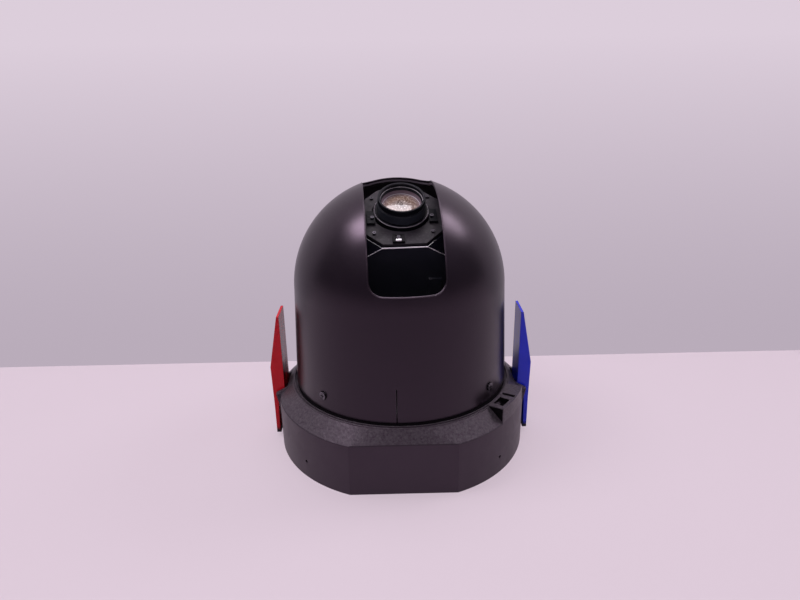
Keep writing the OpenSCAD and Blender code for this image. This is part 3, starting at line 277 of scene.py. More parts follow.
@dataclass(frozen=True)
class GrainedRing(MouldedPlastic):
    """The base moulding: a fine spark finish on its walls, coarse pebbles on its sloped ring."""

    ring_from: float = 33.2
    ring_fade: float = 0.4
    pebble_mm: float = 1.5
    pebble_depth: float = 0.09
    ring_tone: str = "#434143"
    # Colour of the painted shade in the gap and the key pocket, and of the two dark lines
    shade_and_line_tone: str = "#0d0a0e"
    gap_r: float = 69.4
    gap_fade: float = 0.1
    wall_line: tuple[float, float] = (0.5, 0.35)
    lip_r: float = 70.8
    lip_line: tuple[float, float] = (0.3, 0.15)
    pocket_r: float = 79.0
    pocket_low: tuple[float, float] = (0.1, 0.3)
    key_fade: float = 0.002

    def on_ring(self, tree: Tree, coords: Socket) -> Socket:
        """Share that is 1 on the sloped ring above the wall, and 0 on the wall."""
        height = add(tree, "SeparateXYZ", {0: coords}, "Z")
        return add(tree, "MapRange", {"Value": height, "From Min": self.ring_from * MM,
                                      "From Max": (self.ring_from + self.ring_fade) * MM})

    def tint(self, tree: Tree, coords: Socket, drift: Socket) -> Socket:
        """Wall colour below, and a lighter speckled tone where the pebbles catch light.

        Args:
            tree: node tree of the material.
            coords: place on the piece.
            drift: slow noise.

        Returns:
            The colour.
        """
        wall = super().tint(tree, coords, drift)
        speck = add(tree, "TexNoise", {"Vector": coords, "Scale": per_mm(self.pebble_mm),
                                       "Detail": 3.0, "Roughness": 0.7})
        speck = add(tree, "MapRange", {"Value": speck, "From Min": 0.3, "From Max": 0.75})
        share = add(tree, "Math", {0: speck, 1: self.on_ring(tree, coords)}, operation="MULTIPLY")
        return add(tree, "Mix", {0: share, 6: wall, 7: linear(self.ring_tone)}, 2,
                   data_type="RGBA")

    def painted_shade_and_lines(self, tree: Tree, coords: Socket) -> Socket:
        """Share of painted shade in the gap and the key block, and of two dark lines elsewhere.

        The gap lies inside the ring. The two lines, at the top of the wall and at the lip, are
        drawn wide enough to show. In the key block the painted shade lies below the top and within
        pocket_r. The angle key_fade is in radians.

        Args:
            tree: node tree of the material.
            coords: place on the piece.

        Returns:
            The share.
        """
        axes = add(tree, "SeparateXYZ", {0: coords}).node.outputs
        plan = add(tree, "VectorMath", {0: coords, 1: (1.0, 1.0, 0.0)}, operation="MULTIPLY")
        radius = add(tree, "VectorMath", {0: plan}, "Value", operation="LENGTH")
        # Painted shade in the gap inside the ring
        gap = add(tree, "MapRange", {"Value": radius,
                                     "From Min": (self.gap_r + self.gap_fade) * MM,
                                     "From Max": (self.gap_r - self.gap_fade) * MM})
        # Two dark lines, at the top of the wall and at the lip
        wall = near(tree, axes["Z"], WALL_Z * MM, *(s * MM for s in self.wall_line))
        lip = near(tree, radius, self.lip_r * MM, *(s * MM for s in self.lip_line))
        seams = add(tree, "Math", {0: wall, 1: lip}, operation="MAXIMUM")
        ahead = add(tree, "Math", {0: axes["Y"], 1: -1.0}, operation="MULTIPLY")
        angle = add(tree, "Math", {0: axes["X"], 1: ahead}, operation="ARCTAN2")
        first, last = (math.radians(a) for a in KEY_DEG)
        half = (last - first) / 2
        key = near(tree, angle, first + half, half, half - self.key_fade)
        free = add(tree, "Math", {0: 1.0, 1: key}, operation="SUBTRACT")
        seams = add(tree, "Math", {0: seams, 1: free}, operation="MULTIPLY")
        dark = add(tree, "Math", {0: seams, 1: gap}, operation="MAXIMUM")
        # Painted shade in the key block's pocket, below the top
        low = add(tree, "MapRange", {"Value": axes["Z"],
                                     "From Min": (RING_Z - self.pocket_low[0]) * MM,
                                     "From Max": (RING_Z - self.pocket_low[1]) * MM})
        within = add(tree, "Math", {0: radius, 1: self.pocket_r * MM}, operation="LESS_THAN")
        pocket = add(tree, "Math", {0: low, 1: within}, operation="MULTIPLY")
        pocket = add(tree, "Math", {0: pocket, 1: key}, operation="MULTIPLY")
        return add(tree, "Math", {0: dark, 1: pocket}, operation="MAXIMUM")

    def trim(self, tree: Tree, coords: Socket, edge: Socket, colour: Socket) -> Socket:
        """Work over the edges of a colour: rubbed pale in patches, with painted shade and dark
        lines over it.

        Args:
            tree: node tree of the material.
            coords: place on the piece.
            edge: share that is 0 on a face and 1 on an edge.
            colour: colour before.

        Returns:
            The colour after.
        """
        rubbed = super().trim(tree, coords, edge, colour)
        # Painted shade and the two dark lines, laid over the rubbed colour
        share = self.painted_shade_and_lines(tree, coords)
        return add(tree, "Mix", {0: share, 6: rubbed, 7: linear(self.shade_and_line_tone)}, 2,
                   data_type="RGBA")

    def facing(self, tree: Tree, coords: Socket, rounded: Socket) -> Socket:
        """On the slope, the normal of a blend that turns evenly from the round wall to the flat.

        At the angle a from the front the slope runs in from min(BASE_R, FLAT_Y / cos a) to RING_R.

        Args:
            tree: node tree of the material.
            coords: place on the piece.
            rounded: normal whose edges are rounded, which holds off the slope.

        Returns:
            The normal.
        """
        plan = add(tree, "VectorMath", {0: coords, 1: (1.0, 1.0, 0.0)}, operation="MULTIPLY")
        radial = add(tree, "VectorMath", {0: plan}, operation="NORMALIZE")
        ahead = add(tree, "VectorMath", {0: radial, 1: (0.0, -1.0, 0.0)}, "Value",
                    operation="DOT_PRODUCT")
        ahead = add(tree, "Math", {0: ahead, 1: 0.5}, operation="MAXIMUM")
        far = add(tree, "Math", {0: FLAT_Y, 1: ahead}, operation="DIVIDE")
        far = add(tree, "Math", {0: far, 1: BASE_R}, operation="MINIMUM")
        run = add(tree, "Math", {0: far, 1: RING_R}, operation="SUBTRACT")
        outward = add(tree, "VectorMath", {0: radial, "Scale": RING_Z - WALL_Z}, operation="SCALE")
        upward = add(tree, "CombineXYZ", {"Z": run})
        lean = add(tree, "VectorMath", {0: outward, 1: upward})
        lean = add(tree, "VectorMath", {0: lean}, operation="NORMALIZE")
        own = add(tree, "NewGeometry", out="Normal")
        match = add(tree, "VectorMath", {0: lean, 1: own}, "Value", operation="DOT_PRODUCT")
        share = add(tree, "MapRange", {"Value": match, "From Min": 0.8, "From Max": 0.88})
        share = add(tree, "Math", {0: share, 1: self.on_ring(tree, coords)}, operation="MULTIPLY")
        return add(tree, "Mix", {0: share, 4: rounded, 5: lean}, 1, data_type="VECTOR")

    def relief(self, tree: Tree, coords: Socket) -> Socket:
        """Fine grain everywhere, plus rounded pebbles as tall as pebble_depth on the ring.

        Args:
            tree: node tree of the material.
            coords: place on the piece.

        Returns:
            The height in millimetres.
        """
        fine = super().relief(tree, coords)
        pebble = add(tree, "TexVoronoi", {"Vector": coords, "Scale": per_mm(self.pebble_mm)},
                     feature="SMOOTH_F1")
        tall = add(tree, "Math", {0: pebble, 1: -self.pebble_depth}, operation="MULTIPLY")
        tall = add(tree, "Math", {0: tall, 1: self.on_ring(tree, coords)}, operation="MULTIPLY")
        return add(tree, "Math", {0: fine, 1: tall})


@dataclass(frozen=True)
class DomePlastic(MouldedPlastic):
    """The drum: satin outside, and inside a lighter grey that is painted light on its shaded inner
    wall.
    """

    skin_r: float = 65.0
    skin_fade: float = 0.3
    # Lighter grey of the inside: painted light on the shaded inner wall
    painted_lit_lining: str = "#5a535b"

    def tint(self, tree: Tree, coords: Socket, drift: Socket) -> Socket:
        """Outer colour, which goes to the lighter inside colour, painted light, inside skin_r.

        The radius is measured from the axis and, above DOME_Z, from the centre of the dome.

        Args:
            tree: node tree of the material.
            coords: place on the piece.
            drift: slow noise.

        Returns:
            The colour.
        """
        outer = super().tint(tree, coords, drift)
        axes = add(tree, "SeparateXYZ", {0: coords}).node.outputs
        rise = add(tree, "Math", {0: axes["Z"], 1: DOME_Z * MM}, operation="SUBTRACT")
        rise = add(tree, "Math", {0: rise, 1: 0.0}, operation="MAXIMUM")
        away = add(tree, "CombineXYZ", {"X": axes["X"], "Y": axes["Y"], "Z": rise})
        radius = add(tree, "VectorMath", {0: away}, "Value", operation="LENGTH")
        within = add(tree, "MapRange", {"Value": radius, "From Min": self.skin_r * MM,
                                        "From Max": (self.skin_r - self.skin_fade) * MM})
        return add(tree, "Mix", {0: within, 6: outer, 7: linear(self.painted_lit_lining)}, 2, data_type="RGBA")


@dataclass(frozen=True)
class HousingPlastic(MouldedPlastic):
    """The camera's housing: glossy black, with a slate underside."""

    belly: str = "#272831"
    down: Triple = (0.0, 0.0, -1.0)
    belly_from: float = 0.0
    belly_fade: tuple[float, float] = (0.2, 0.1)

    def tint(self, tree: Tree, coords: Socket, drift: Socket) -> Socket:
        """Body colour, which goes to the belly's where the way along down passes belly_from.

        Args:
            tree: node tree of the material.
            coords: place on the piece.
            drift: slow noise.

        Returns:
            The colour.
        """
        body = super().tint(tree, coords, drift)
        way = add(tree, "VectorMath", {0: coords, 1: self.down}, "Value", operation="DOT_PRODUCT")
        start, full = ((self.belly_from - f) * MM for f in self.belly_fade)
        under = add(tree, "MapRange", {"Value": way, "From Min": start, "From Max": full})
        return add(tree, "Mix", {0: under, 6: body, 7: linear(self.belly)}, 2, data_type="RGBA")


@dataclass(frozen=True)
class LeverPlastic(MouldedPlastic):
    """Glossy coloured plastic of a release lever: deep colour, with painted shade at its lower tip.
    """

    # Colour of the painted shade at the lever's lower tip
    hook_shade: str = "#15121a"
    hook_top: float = 8.0
    hook_fade: float = 3.0

    def tint(self, tree: Tree, coords: Socket, drift: Socket) -> Socket:
        """Lever colour, which goes to the painted shade below hook_top.

        Args:
            tree: node tree of the material.
            coords: place on the piece.
            drift: slow noise.

        Returns:
            The colour.
        """
        lever = super().tint(tree, coords, drift)
        height = add(tree, "SeparateXYZ", {0: coords}, "Z")
        low = add(tree, "MapRange", {"Value": height, "From Min": self.hook_top * MM,
                                     "From Max": (self.hook_top - self.hook_fade) * MM})
        return add(tree, "Mix", {0: low, 6: lever, 7: linear(self.hook_shade)}, 2, data_type="RGBA")


@dataclass(frozen=True)
class WorkedMetal(Finish):
    """Turned, drawn or plated metal: fine tool lines, a little tarnish, rounded edges."""

    colour: str
    tarnish: str
    rough: float
    spot_mm: float = 4.0
    line_mm: float = 0.3
    line_depth: float = 0.004
    edge_mm: float = 0.12

    def shade(self, tree: Tree) -> Socket:
        """Metal whose gloss and relief follow the tool lines, and whose colour follows the tarnish.

        Args:
            tree: node tree of the material.

        Returns:
            The shader's output.
        """
        coords = add(tree, "TexCoord", out="Object")
        spots = add(tree, "TexNoise", {"Vector": coords, "Scale": per_mm(self.spot_mm),
                                       "Detail": 5.0, "Roughness": 0.65})
        spots = add(tree, "MapRange", {"Value": spots, "From Min": 0.42, "From Max": 0.72})
        colour = add(tree, "Mix", {0: spots, 6: linear(self.colour), 7: linear(self.tarnish)}, 2,
                     data_type="RGBA")
        drawn = add(tree, "Mapping", {"Vector": coords, "Scale": (1.0, 1.0, 0.08)})
        lines = add(tree, "TexNoise", {"Vector": drawn, "Scale": per_mm(self.line_mm),
                                       "Detail": 2.0})
        rough = add(tree, "MapRange", {"Value": lines, "From Min": 0.3, "From Max": 0.7,
                                       "To Min": self.rough * 0.75, "To Max": self.rough * 1.35})
        rounded = add(tree, "Bevel", {"Radius": self.edge_mm * MM}, samples=4)
        bump = add(tree, "Bump", {"Strength": 1.0, "Distance": self.line_depth * MM,
                                  "Height": lines, "Normal": rounded})
        return add(tree, "BsdfPrincipled", {"Base Color": colour, "Metallic": 1.0,
                                            "Roughness": rough, "Normal": bump})


@dataclass(frozen=True)
class CoatedLens(Finish):
    """Coated lens from outside: brown pupil, warm ring of stacked reflections, mauve edge, painted
    on by radius as painted shade and painted reflections.
    """

    pupil: str
    warm: str
    edge: str
    mote: str
    centre: Triple
    axis: Triple
    pupil_r: tuple[float, float] = (2.0, 6.0)
    edge_r: tuple[float, float] = (8.0, 11.6)
    mote_mm: float = 1.3
    rough: float = 0.16
    haze: float = 0.28

    def shade(self, tree: Tree) -> Socket:
        """Colours by the distance from the lens axis, |(p - centre) x axis|, under a clear coat.

        The dust between the elements is drawn coarser than it is, so that it shows.

        Args:
            tree: node tree of the material.

        Returns:
            The shader's output.
        """
        coords = add(tree, "TexCoord", out="Object")
        arm = add(tree, "VectorMath", {0: coords, 1: tuple(c * MM for c in self.centre)},
                  operation="SUBTRACT")
        swing = add(tree, "VectorMath", {0: arm, 1: self.axis}, operation="CROSS_PRODUCT")
        radius = add(tree, "VectorMath", {0: swing}, "Value", operation="LENGTH")
        # Painted shade in the brown pupil, painted reflections in the warm ring and the mauve edge
        out = add(tree, "MapRange", {"Value": radius, "From Min": self.pupil_r[0] * MM,
                                     "From Max": self.pupil_r[1] * MM})
        body = add(tree, "Mix", {0: out, 6: linear(self.pupil), 7: linear(self.warm)}, 2,
                   data_type="RGBA")
        rim = add(tree, "MapRange", {"Value": radius, "From Min": self.edge_r[0] * MM,
                                     "From Max": self.edge_r[1] * MM})
        body = add(tree, "Mix", {0: rim, 6: body, 7: linear(self.edge)}, 2, data_type="RGBA")
        motes = add(tree, "TexNoise", {"Vector": coords, "Scale": per_mm(self.mote_mm),
                                       "Detail": 4.0, "Roughness": 0.8})
        motes = add(tree, "MapRange", {"Value": motes, "From Min": 0.5, "From Max": 0.74})
        colour = add(tree, "Mix", {0: motes, 6: body, 7: linear(self.mote)}, 2, data_type="RGBA")
        rough = add(tree, "MapRange", {"Value": motes, "To Min": self.rough,
                                       "To Max": self.rough + self.haze})
        return add(tree, "BsdfPrincipled", {"Base Color": colour, "Roughness": rough,
                                            "Specular IOR Level": 0.4, "Coat Weight": 0.6,
                                            "Coat Roughness": 0.03, "Coat IOR": 1.45})


@dataclass(frozen=True)
class SensorGlass(Finish):
    """Image sensor under its cover glass: dark silicon whose rows of cells give a blue sheen."""

    silicon: str
    sheen: str
    cell_mm: float = 0.4

    def shade(self, tree: Tree) -> Socket:
        """Polished dark body with a coloured reflection.

        Its rows of cells are drawn coarser than they are, so that they show.

        Args:
            tree: node tree of the material.

        Returns:
            The shader's output.
        """
        coords = add(tree, "TexCoord", out="Object")
        rows = add(tree, "TexWave", {"Vector": coords, "Scale": per_mm(self.cell_mm) / 10.0}, "Fac")
        rough = add(tree, "MapRange", {"Value": rows, "To Min": 0.06, "To Max": 0.18})
        return add(tree, "BsdfPrincipled", {"Base Color": linear(self.silicon), "Roughness": rough,
                                            "IOR": 1.9, "Specular Tint": linear(self.sheen)})


@dataclass(frozen=True)
class CircuitBoard(Finish):
    """Glass epoxy board: green solder mask over copper runs, tinned vias, black chips above it."""

    chip_from: float = 1000.0
    mask: tuple[str, str] = ("#123d22", "#174a2a")
    run: str = "#2d7a45"
    tin: str = "#b9b6ac"
    chip: str = "#18181b"
    run_mm: float = 1.6
    via_mm: float = 4.2
    run_depth: float = 0.05

    def shade(self, tree: Tree) -> Socket:
        """Mask, lighter where a run passes under it, tin at the vias, black above chip_from.

        Args:
            tree: node tree of the material.

        Returns:
            The shader's output.
        """
        coords = add(tree, "TexCoord", out="Object")
        brick = add(tree, "TexBrick", {"Vector": coords, "Scale": per_mm(self.run_mm) / 4.0,
                                       "Mortar Size": 0.06, "Color1": linear(self.mask[0]),
                                       "Color2": linear(self.mask[1]),
                                       "Mortar": linear(self.run)}).node.outputs
        via = add(tree, "TexVoronoi", {"Vector": coords, "Scale": per_mm(self.via_mm)})
        tinned = add(tree, "MapRange", {"Value": via, "From Min": 0.16, "From Max": 0.12})
        face = add(tree, "Mix", {0: tinned, 6: brick["Color"], 7: linear(self.tin)}, 2,
                   data_type="RGBA")
        height = add(tree, "SeparateXYZ", {0: coords}, "Z")
        above = add(tree, "Math", {0: height, 1: self.chip_from * MM}, operation="GREATER_THAN")
        colour = add(tree, "Mix", {0: above, 6: face, 7: linear(self.chip)}, 2, data_type="RGBA")
        rough = add(tree, "MapRange", {"Value": brick["Fac"], "To Min": 0.32, "To Max": 0.45})
        bump = add(tree, "Bump", {"Strength": 1.0, "Distance": self.run_depth * MM,
                                  "Height": brick["Fac"]})
        return add(tree, "BsdfPrincipled", {"Base Color": colour, "Roughness": rough,
                                            "Normal": bump})


@dataclass(frozen=True)
class LitBoard(Finish):
    """Matt studio board, cloudy as a rolled coat is, with an even glow over its paint.

    The eye, gloss and glass see the glow, and the paint takes the shadow.
    """

    colour: str
    cloud: str
    low: str = "#b9acba"
    high: str = "#dccedb"
    cloud_mm: float = 220.0
    top_z: float = 250.0
    fade: float = 1.8
    share: float = 1.0
    open_back: bool = False

    def paint(self, tree: Tree) -> Socket:
        """Matt paint whose two shades drift into each other.

        Args:
            tree: node tree of the material.

        Returns:
            The paint's shader.
        """
        coords = add(tree, "TexCoord", out="Object")
        noise = add(tree, "TexNoise", {"Vector": coords, "Scale": per_mm(self.cloud_mm),
                                       "Detail": 3.0})
        colour = add(tree, "Mix", {0: noise, 6: linear(self.colour), 7: linear(self.cloud)}, 2,
                     data_type="RGBA")
        return add(tree, "BsdfPrincipled", {"Base Color": colour, "Roughness": 0.75})

    def shade(self, tree: Tree) -> Socket:
        """Mix the glow, from low to high up the board, into the paint for the rays that see it.

        Args:
            tree: node tree of the material.

        Returns:
            The shader's output; the back of an open board is clear.
        """
        height = add(tree, "SeparateXYZ", {0: add(tree, "TexCoord", out="Object")}, "Z")
        up = add(tree, "MapRange", {"Value": height, "From Max": self.top_z * MM})
        up = add(tree, "Math", {0: up, 1: self.fade}, operation="POWER")
        colour = add(tree, "Mix", {0: up, 6: linear(self.low), 7: linear(self.high)}, 2,
                     data_type="RGBA")
        ray = add(tree, "LightPath").node.outputs
        seen = add(tree, "Math", {0: ray["Is Camera Ray"], 1: ray["Is Glossy Ray"]},
                   operation="MAXIMUM")
        seen = add(tree, "Math", {0: seen, 1: ray["Is Transmission Ray"]}, operation="MAXIMUM")
        part = add(tree, "Math", {0: seen, 1: self.share}, operation="MULTIPLY")
        glow = add(tree, "Emission", {"Color": colour, "Strength": 1.0})
        front = add(tree, "MixShader", {0: part, 1: self.paint(tree), 2: glow})
        if not self.open_back:
            return front
        back = add(tree, "NewGeometry", out="Backfacing")
        return add(tree, "MixShader", {0: back, 1: front, 2: add(tree, "BsdfTransparent")})


@dataclass(frozen=True)
class HeadFrame:
    """Where the camera head stands at rest."""

    pan_deg: float = 3.7
    lens_deg: float = 64.0
    tilt_z: float = 133.0
    head_x: float = 1.0

    def panned(self, points: np.ndarray) -> np.ndarray:
        """Turn points about the upright axis by the pan angle.

        Args:
            points: array whose last axis is x, y, z.

        Returns:
            The turned points.
        """
        b = math.radians(self.pan_deg)
        turn = np.array([[math.cos(b), -math.sin(b), 0.0], [math.sin(b), math.cos(b), 0.0],
                         [0.0, 0.0, 1.0]])
        return points @ turn.T

    def placed(self, points: np.ndarray) -> np.ndarray:
        """Tip points by the lens angle about X, put them on the tilt axis and pan them.

        Args:
            points: array in the head's frame whose last axis is x, y, z.

        Returns:
            The points as the head stands at rest.
        """
        a = math.radians(-self.lens_deg)
        tip = np.array([[1.0, 0.0, 0.0], [0.0, math.cos(a), -math.sin(a)],
                        [0.0, math.sin(a), math.cos(a)]])
        return self.panned(points @ tip.T + np.array([self.head_x, 0.0, self.tilt_z]))

    def origin(self) -> Triple:
        """Where the head's own origin stands at rest."""
        return tuple(self.placed(np.zeros((1, 3)))[0].tolist())

    def toward(self, way: Triple) -> Triple:
        """A direction of the head's frame, as the head stands at rest."""
        ends = self.placed(np.array([(0.0, 0.0, 0.0), way]))
        return tuple((ends[1] - ends[0]).tolist())

    def depth_below(self, depth: float) -> float:
        """Way along the head's downward direction of a point that is depth below the tilt axis."""
        down = np.array(self.toward((0.0, 0.0, -1.0)))
        return float(self.placed(np.array([[0.0, 0.0, -depth]]))[0] @ down)


HEAD = HeadFrame()

FINISHES: dict[str, Finish] = {
    # Moulded ABS with an etched ring: a soft, dull charcoal wall, and pebbles that sparkle a little
    # on the slope.
    "base_plastic": GrainedRing("grained_charcoal_abs", "#211821", "#1b131b", "#5a545b", 0.44,
                                wear=0.4, dust=0.1, scuff=0.05, cast="#ffe7ff"),
    # Polycarbonate from a satin tool: near black, with broad soft highlights that fade upward.
    "drum_plastic": DomePlastic("satin_black_polycarbonate", "#0b070c", "#090509", "#3a353b", 0.3,
                                grain_mm=0.8, grain_depth=0.002, scuff=0.03, scuff_mm=24.0,
                                edge_mm=0.7, wear=0.5, dust=0.02, shine=0.43, cast="#ffe2ff"),
    # ABS from a polished tool: a deep, even red with a whitish sheen where it is seen edge on.
    "red_plastic": LeverPlastic("glossy_red_abs", "#b50f1f", "#9d0b17", "#e0555a", 0.2,
                                grain_depth=0.002, edge_mm=0.5, shine=0.18, scuff=0.04, dust=0.0),
    # The same ABS in blue: a saturated flat face, and a paler line along its rounded edges.
    "blue_plastic": LeverPlastic("glossy_blue_abs", "#2430be", "#1c26a5", "#5663d6", 0.2,
                                 grain_depth=0.002, edge_mm=0.5, shine=0.22, scuff=0.04, dust=0.0),
    # ABS from a polished tool: black facets, pale rubbed edges that are partly a painted highlight,
    # and a slate underside.
    "camera_plastic": HousingPlastic("glossy_black_abs", "#0f0f17", "#0c0c13", "#4c4a52", 0.18,
                                     grain_depth=0.002, edge_mm=0.4, wear=0.7, scuff=0.02, dust=0.0,
                                     down=HEAD.toward((0.0, 0.0, -1.0)),
                                     belly_from=HEAD.depth_below(HEAD_FLOOR)),
    # Moulded nylon: a matt grey plate on which the black lugs and the small screws stand out.
    "face_plastic": MouldedPlastic("matt_grey_nylon", "#211e24", "#1b181d", "#5f5b64", 0.5,
                                   edge_mm=0.3, wear=0.5, shine=0.16),
    # Baked enamel on the barrel: it swallows light, so that only its worn edges draw a line.
    "lens_black": MouldedPlastic("matt_black_lens_enamel", "#0f1117", "#0b0c11", "#4c4950", 0.42,
                                 grain_depth=0.004, edge_mm=0.22, wear=0.6, scuff=0.05, dust=0.0,
                                 shine=0.06),
    # Ground, polished and coated glass: a bright window above a warm, dusty brown depth; the depth
    # and its reflections are painted on.
    "glass": CoatedLens("coated_lens_glass", "#382b24", "#645147", "#78676d", "#c4b7ac",
                        HEAD.origin(), HEAD.toward((0.0, -1.0, 0.0))),
    # Zinc plate: bright and slightly cloudy.
    "steel": WorkedMetal("zinc_plated_steel", "#c6c5c9", "#8f8d90", 0.26),
    # Oxide black steel: dark, with a small hard glint.
    "black_steel": WorkedMetal("blackened_steel", "#39373c", "#232125", 0.3),
    # Brass off the lathe: warm, with fine turning lines.
    "brass": WorkedMetal("turned_brass", "#c9a259", "#94733a", 0.28),
    # Milled aluminium: pale and soft, its tool lines stretched along the cut.
    "aluminium": WorkedMetal("machined_aluminium", "#b9babd", "#96979b", 0.36),
    # Uncoloured acetal: creamy, waxy gear teeth.
    "gear_plastic": MouldedPlastic("natural_acetal", "#d8d2c2", "#c9c2b0", "#ebe6d8", 0.4,
                                   dust=0.0),
    # Glass filled nylon: a dry mid grey with a rough grain.
    "chassis_plastic": MouldedPlastic("glass_filled_nylon", "#4a484d", "#3e3c41", "#77747a", 0.55),
    # Laminated board: green mask with lighter runs and tin dots.
    "board": CircuitBoard("glass_epoxy_board"),
    # Diced silicon under glass: dark, with a blue mirror sheen.
    "sensor": SensorGlass("image_sensor_silicon", "#1d2236", "#a9c4ff"),
    # Moulded polyester: an ivory block beside the green board.
    "connector": MouldedPlastic("ivory_polyester", "#d3cbb6", "#c2b9a2", "#e8e2d2", 0.42, dust=0.0),
}
# Painted highlight on rounded edges: a thin bright line on black.
PALE_PAINTED_HIGHLIGHT = MouldedPlastic("painted_pale_highlight", "#cdc8cf", "#bcb6bd", "#e2dee4", 0.2, scuff=0.05,
                           dust=0.0)
# The same painted highlight, dimmer: a grey line.
GREY_PAINTED_HIGHLIGHT = MouldedPlastic("painted_grey_highlight", "#6d676f", "#5b555d", "#8d878f", 0.25, scuff=0.05,
                           dust=0.0)
# Pressed felt under the drum's rim that fills the gap: near black, it draws the gap's painted
# shade as a black line, with no shine.
GAP_SHADE_FELT = MouldedPlastic("gap_shade_felt", "#141015", "#0f0c10", "#141015", 0.85,
                           grain_mm=0.6, grain_depth=0.08, shine=0.1, scuff=0.05)
# Enamel band on the sleeve of the barrel: blue black, lighter than the barrel as painted sheen,
# and it takes a little light from the front.
SLEEVE_PAINTED_SHEEN = MouldedPlastic("blue_black_painted_sheen", "#272a33", "#21252c", "#4c4950", 0.4,
                               grain_depth=0.004, dust=0.0, shine=0.3)
# Black pads on the key block: painted shade, deep black that gives back next to nothing.
SHADE_PAD = MouldedPlastic("painted_shade_pad", "#0a080b", "#070608", "#1a171b", 0.9, grain_mm=0.7,
                          grain_depth=0.1, shine=0.05, dust=0.0)
# Bright nickel plate: one hard white glint.
NICKEL = WorkedMetal("nickel_plated_steel", "#d9d6db", "#a5a2a7", 0.16)
# CAD nodes whose finish differs from their slot's
OWN_FINISH: dict[str, Finish] = {
    # Laminated boards, with black chips above the level of each.
    "main_board": CircuitBoard("main_board_epoxy", chip_from=8.7),
    "drive_board": CircuitBoard("drive_board_epoxy", chip_from=59.5),
    # Black nickel plate: screw heads that go from dark to bright within a few degrees.
    "drum_screws": WorkedMetal("black_nickel_steel", "#5f5b62", "#232025", 0.2),
    # Sprayed paint in the cone before the lens: a dull violet grey that shows the cone's slope.
    "front_ring": MouldedPlastic("violet_grey_baffle_paint", "#6a5a63", "#594a54", "#8b7c84", 0.5,
                                 dust=0.0),
    # Moulded acetal, black: a dark frame for the bright sleeve of the clip.
    "face_clip": MouldedPlastic("dark_acetal_clip", "#100e12", "#0c0a0d", "#4b464d", 0.5,
                                edge_mm=0.2, wear=0.4, dust=0.0, shine=0.08),
}


class Palette:
    """The materials of the object, made once each and handed out by finish."""

    def __init__(self) -> None:
        """Start with no materials made."""
        self._made: dict[str, Material] = {}

    def give(self, finish: Finish) -> Material:
        """Hand out the material of a finish, made when it is first asked for.

        Args:
            finish: the finish.

        Returns:
            Its material.
        """
        if finish.name not in self._made:
            self._made[finish.name] = finish.material()
        return self._made[finish.name]

    def paint(self, piece: Object, finish: Finish) -> None:
        """Put a finish on all of a piece."""
        piece.data.materials.clear()
        piece.data.materials.append(self.give(finish))


def shown(mesh: bpy.types.Mesh, sharp_deg: float) -> Object:
    """Put a finished mesh into the scene, smooth but for its sharp edges.

    Args:
        mesh: the mesh, whose name the object takes.
        sharp_deg: edges that turn by more stay sharp.

    Returns:
        The object, at the origin.
    """
    mesh.polygons.foreach_set("use_smooth", np.ones(len(mesh.polygons), bool))
    mesh.set_sharp_from_angle(angle=math.radians(sharp_deg))
    made = bpy.data.objects.new(mesh.name, mesh)
    bpy.context.scene.collection.objects.link(made)
    return made


def skin(name: str, points: np.ndarray, wrap_u: bool = False, wrap_v: bool = False) -> Object:
    """Mesh object over a grid of points.

    Corner (i, j) joins (i + 1, j), (i + 1, j + 1) and (i, j + 1). Doubled points at poles and seams
    are merged, and the faces are turned outward.

    Args:
        name: name of the object.
        points: array of shape (rows, columns, 3), in millimetres.
        wrap_u: join the last row to the first.
        wrap_v: join the last column to the first.

    Returns:
        The object, at the origin and linked into the scene.
    """
    rows, cols = points.shape[:2]
    index = np.arange(rows * cols).reshape(rows, cols)
    index = np.vstack([index, index[:1]]) if wrap_u else index
    index = np.hstack([index, index[:, :1]]) if wrap_v else index
    quads = np.stack([index[:-1, :-1], index[1:, :-1], index[1:, 1:], index[:-1, 1:]], axis=-1)
    mesh = bpy.data.meshes.new(name)
    mesh.from_pydata(points.reshape(-1, 3) * MM, [], quads.reshape(-1, 4))
    work = bmesh.new()
    work.from_mesh(mesh)
    bmesh.ops.remove_doubles(work, verts=work.verts, dist=ONE_POINT)
    bmesh.ops.dissolve_degenerate(work, edges=work.edges, dist=NO_LENGTH)
    bmesh.ops.recalc_face_normals(work, faces=work.faces)
    work.to_mesh(mesh)
    work.free()
    return shown(mesh, SHARP_DEG)


def lathe(profile: np.ndarray, steps: int = 128) -> np.ndarray:
    """Carry a profile round the lens axis: (r, a) becomes (r cos t, -a, r sin t) for each angle t.

    Args:
        profile: rows of radius and reach along the lens, in millimetres.
        steps: number of angles.

    Returns:
        Grid of shape (profile rows, steps, 3) in the head's frame.
    """
    t = np.linspace(0.0, 2.0 * np.pi, steps, endpoint=False)
    r, reach = profile[:, :1], profile[:, 1:]
    return np.stack([r * np.cos(t), -reach + 0.0 * t, r * np.sin(t)], axis=-1)


def bead(path: np.ndarray, outward: np.ndarray, radius: np.ndarray | float,
         sides: int = 14) -> np.ndarray:
    """Carry a circle along a path: centre + radius (cos t outward + sin t across).

    Args:
        path: points of the centre line, in millimetres.
        outward: unit vectors that point away from the surface that carries the bead.
        radius: radius of the circle, one for all or one for each point.
        sides: points on the circle.

    Returns:
        Grid of shape (path points, sides, 3).
    """
    along = np.gradient(path, axis=0)
    across = np.cross(along, outward)
    across /= np.linalg.norm(across, axis=1, keepdims=True)
    t = np.linspace(0.0, 2.0 * np.pi, sides, endpoint=False)[None, :, None]
    ring = outward[:, None] * np.cos(t) + across[:, None] * np.sin(t)
    return path[:, None] + np.broadcast_to(radius, len(path))[:, None, None] * ring


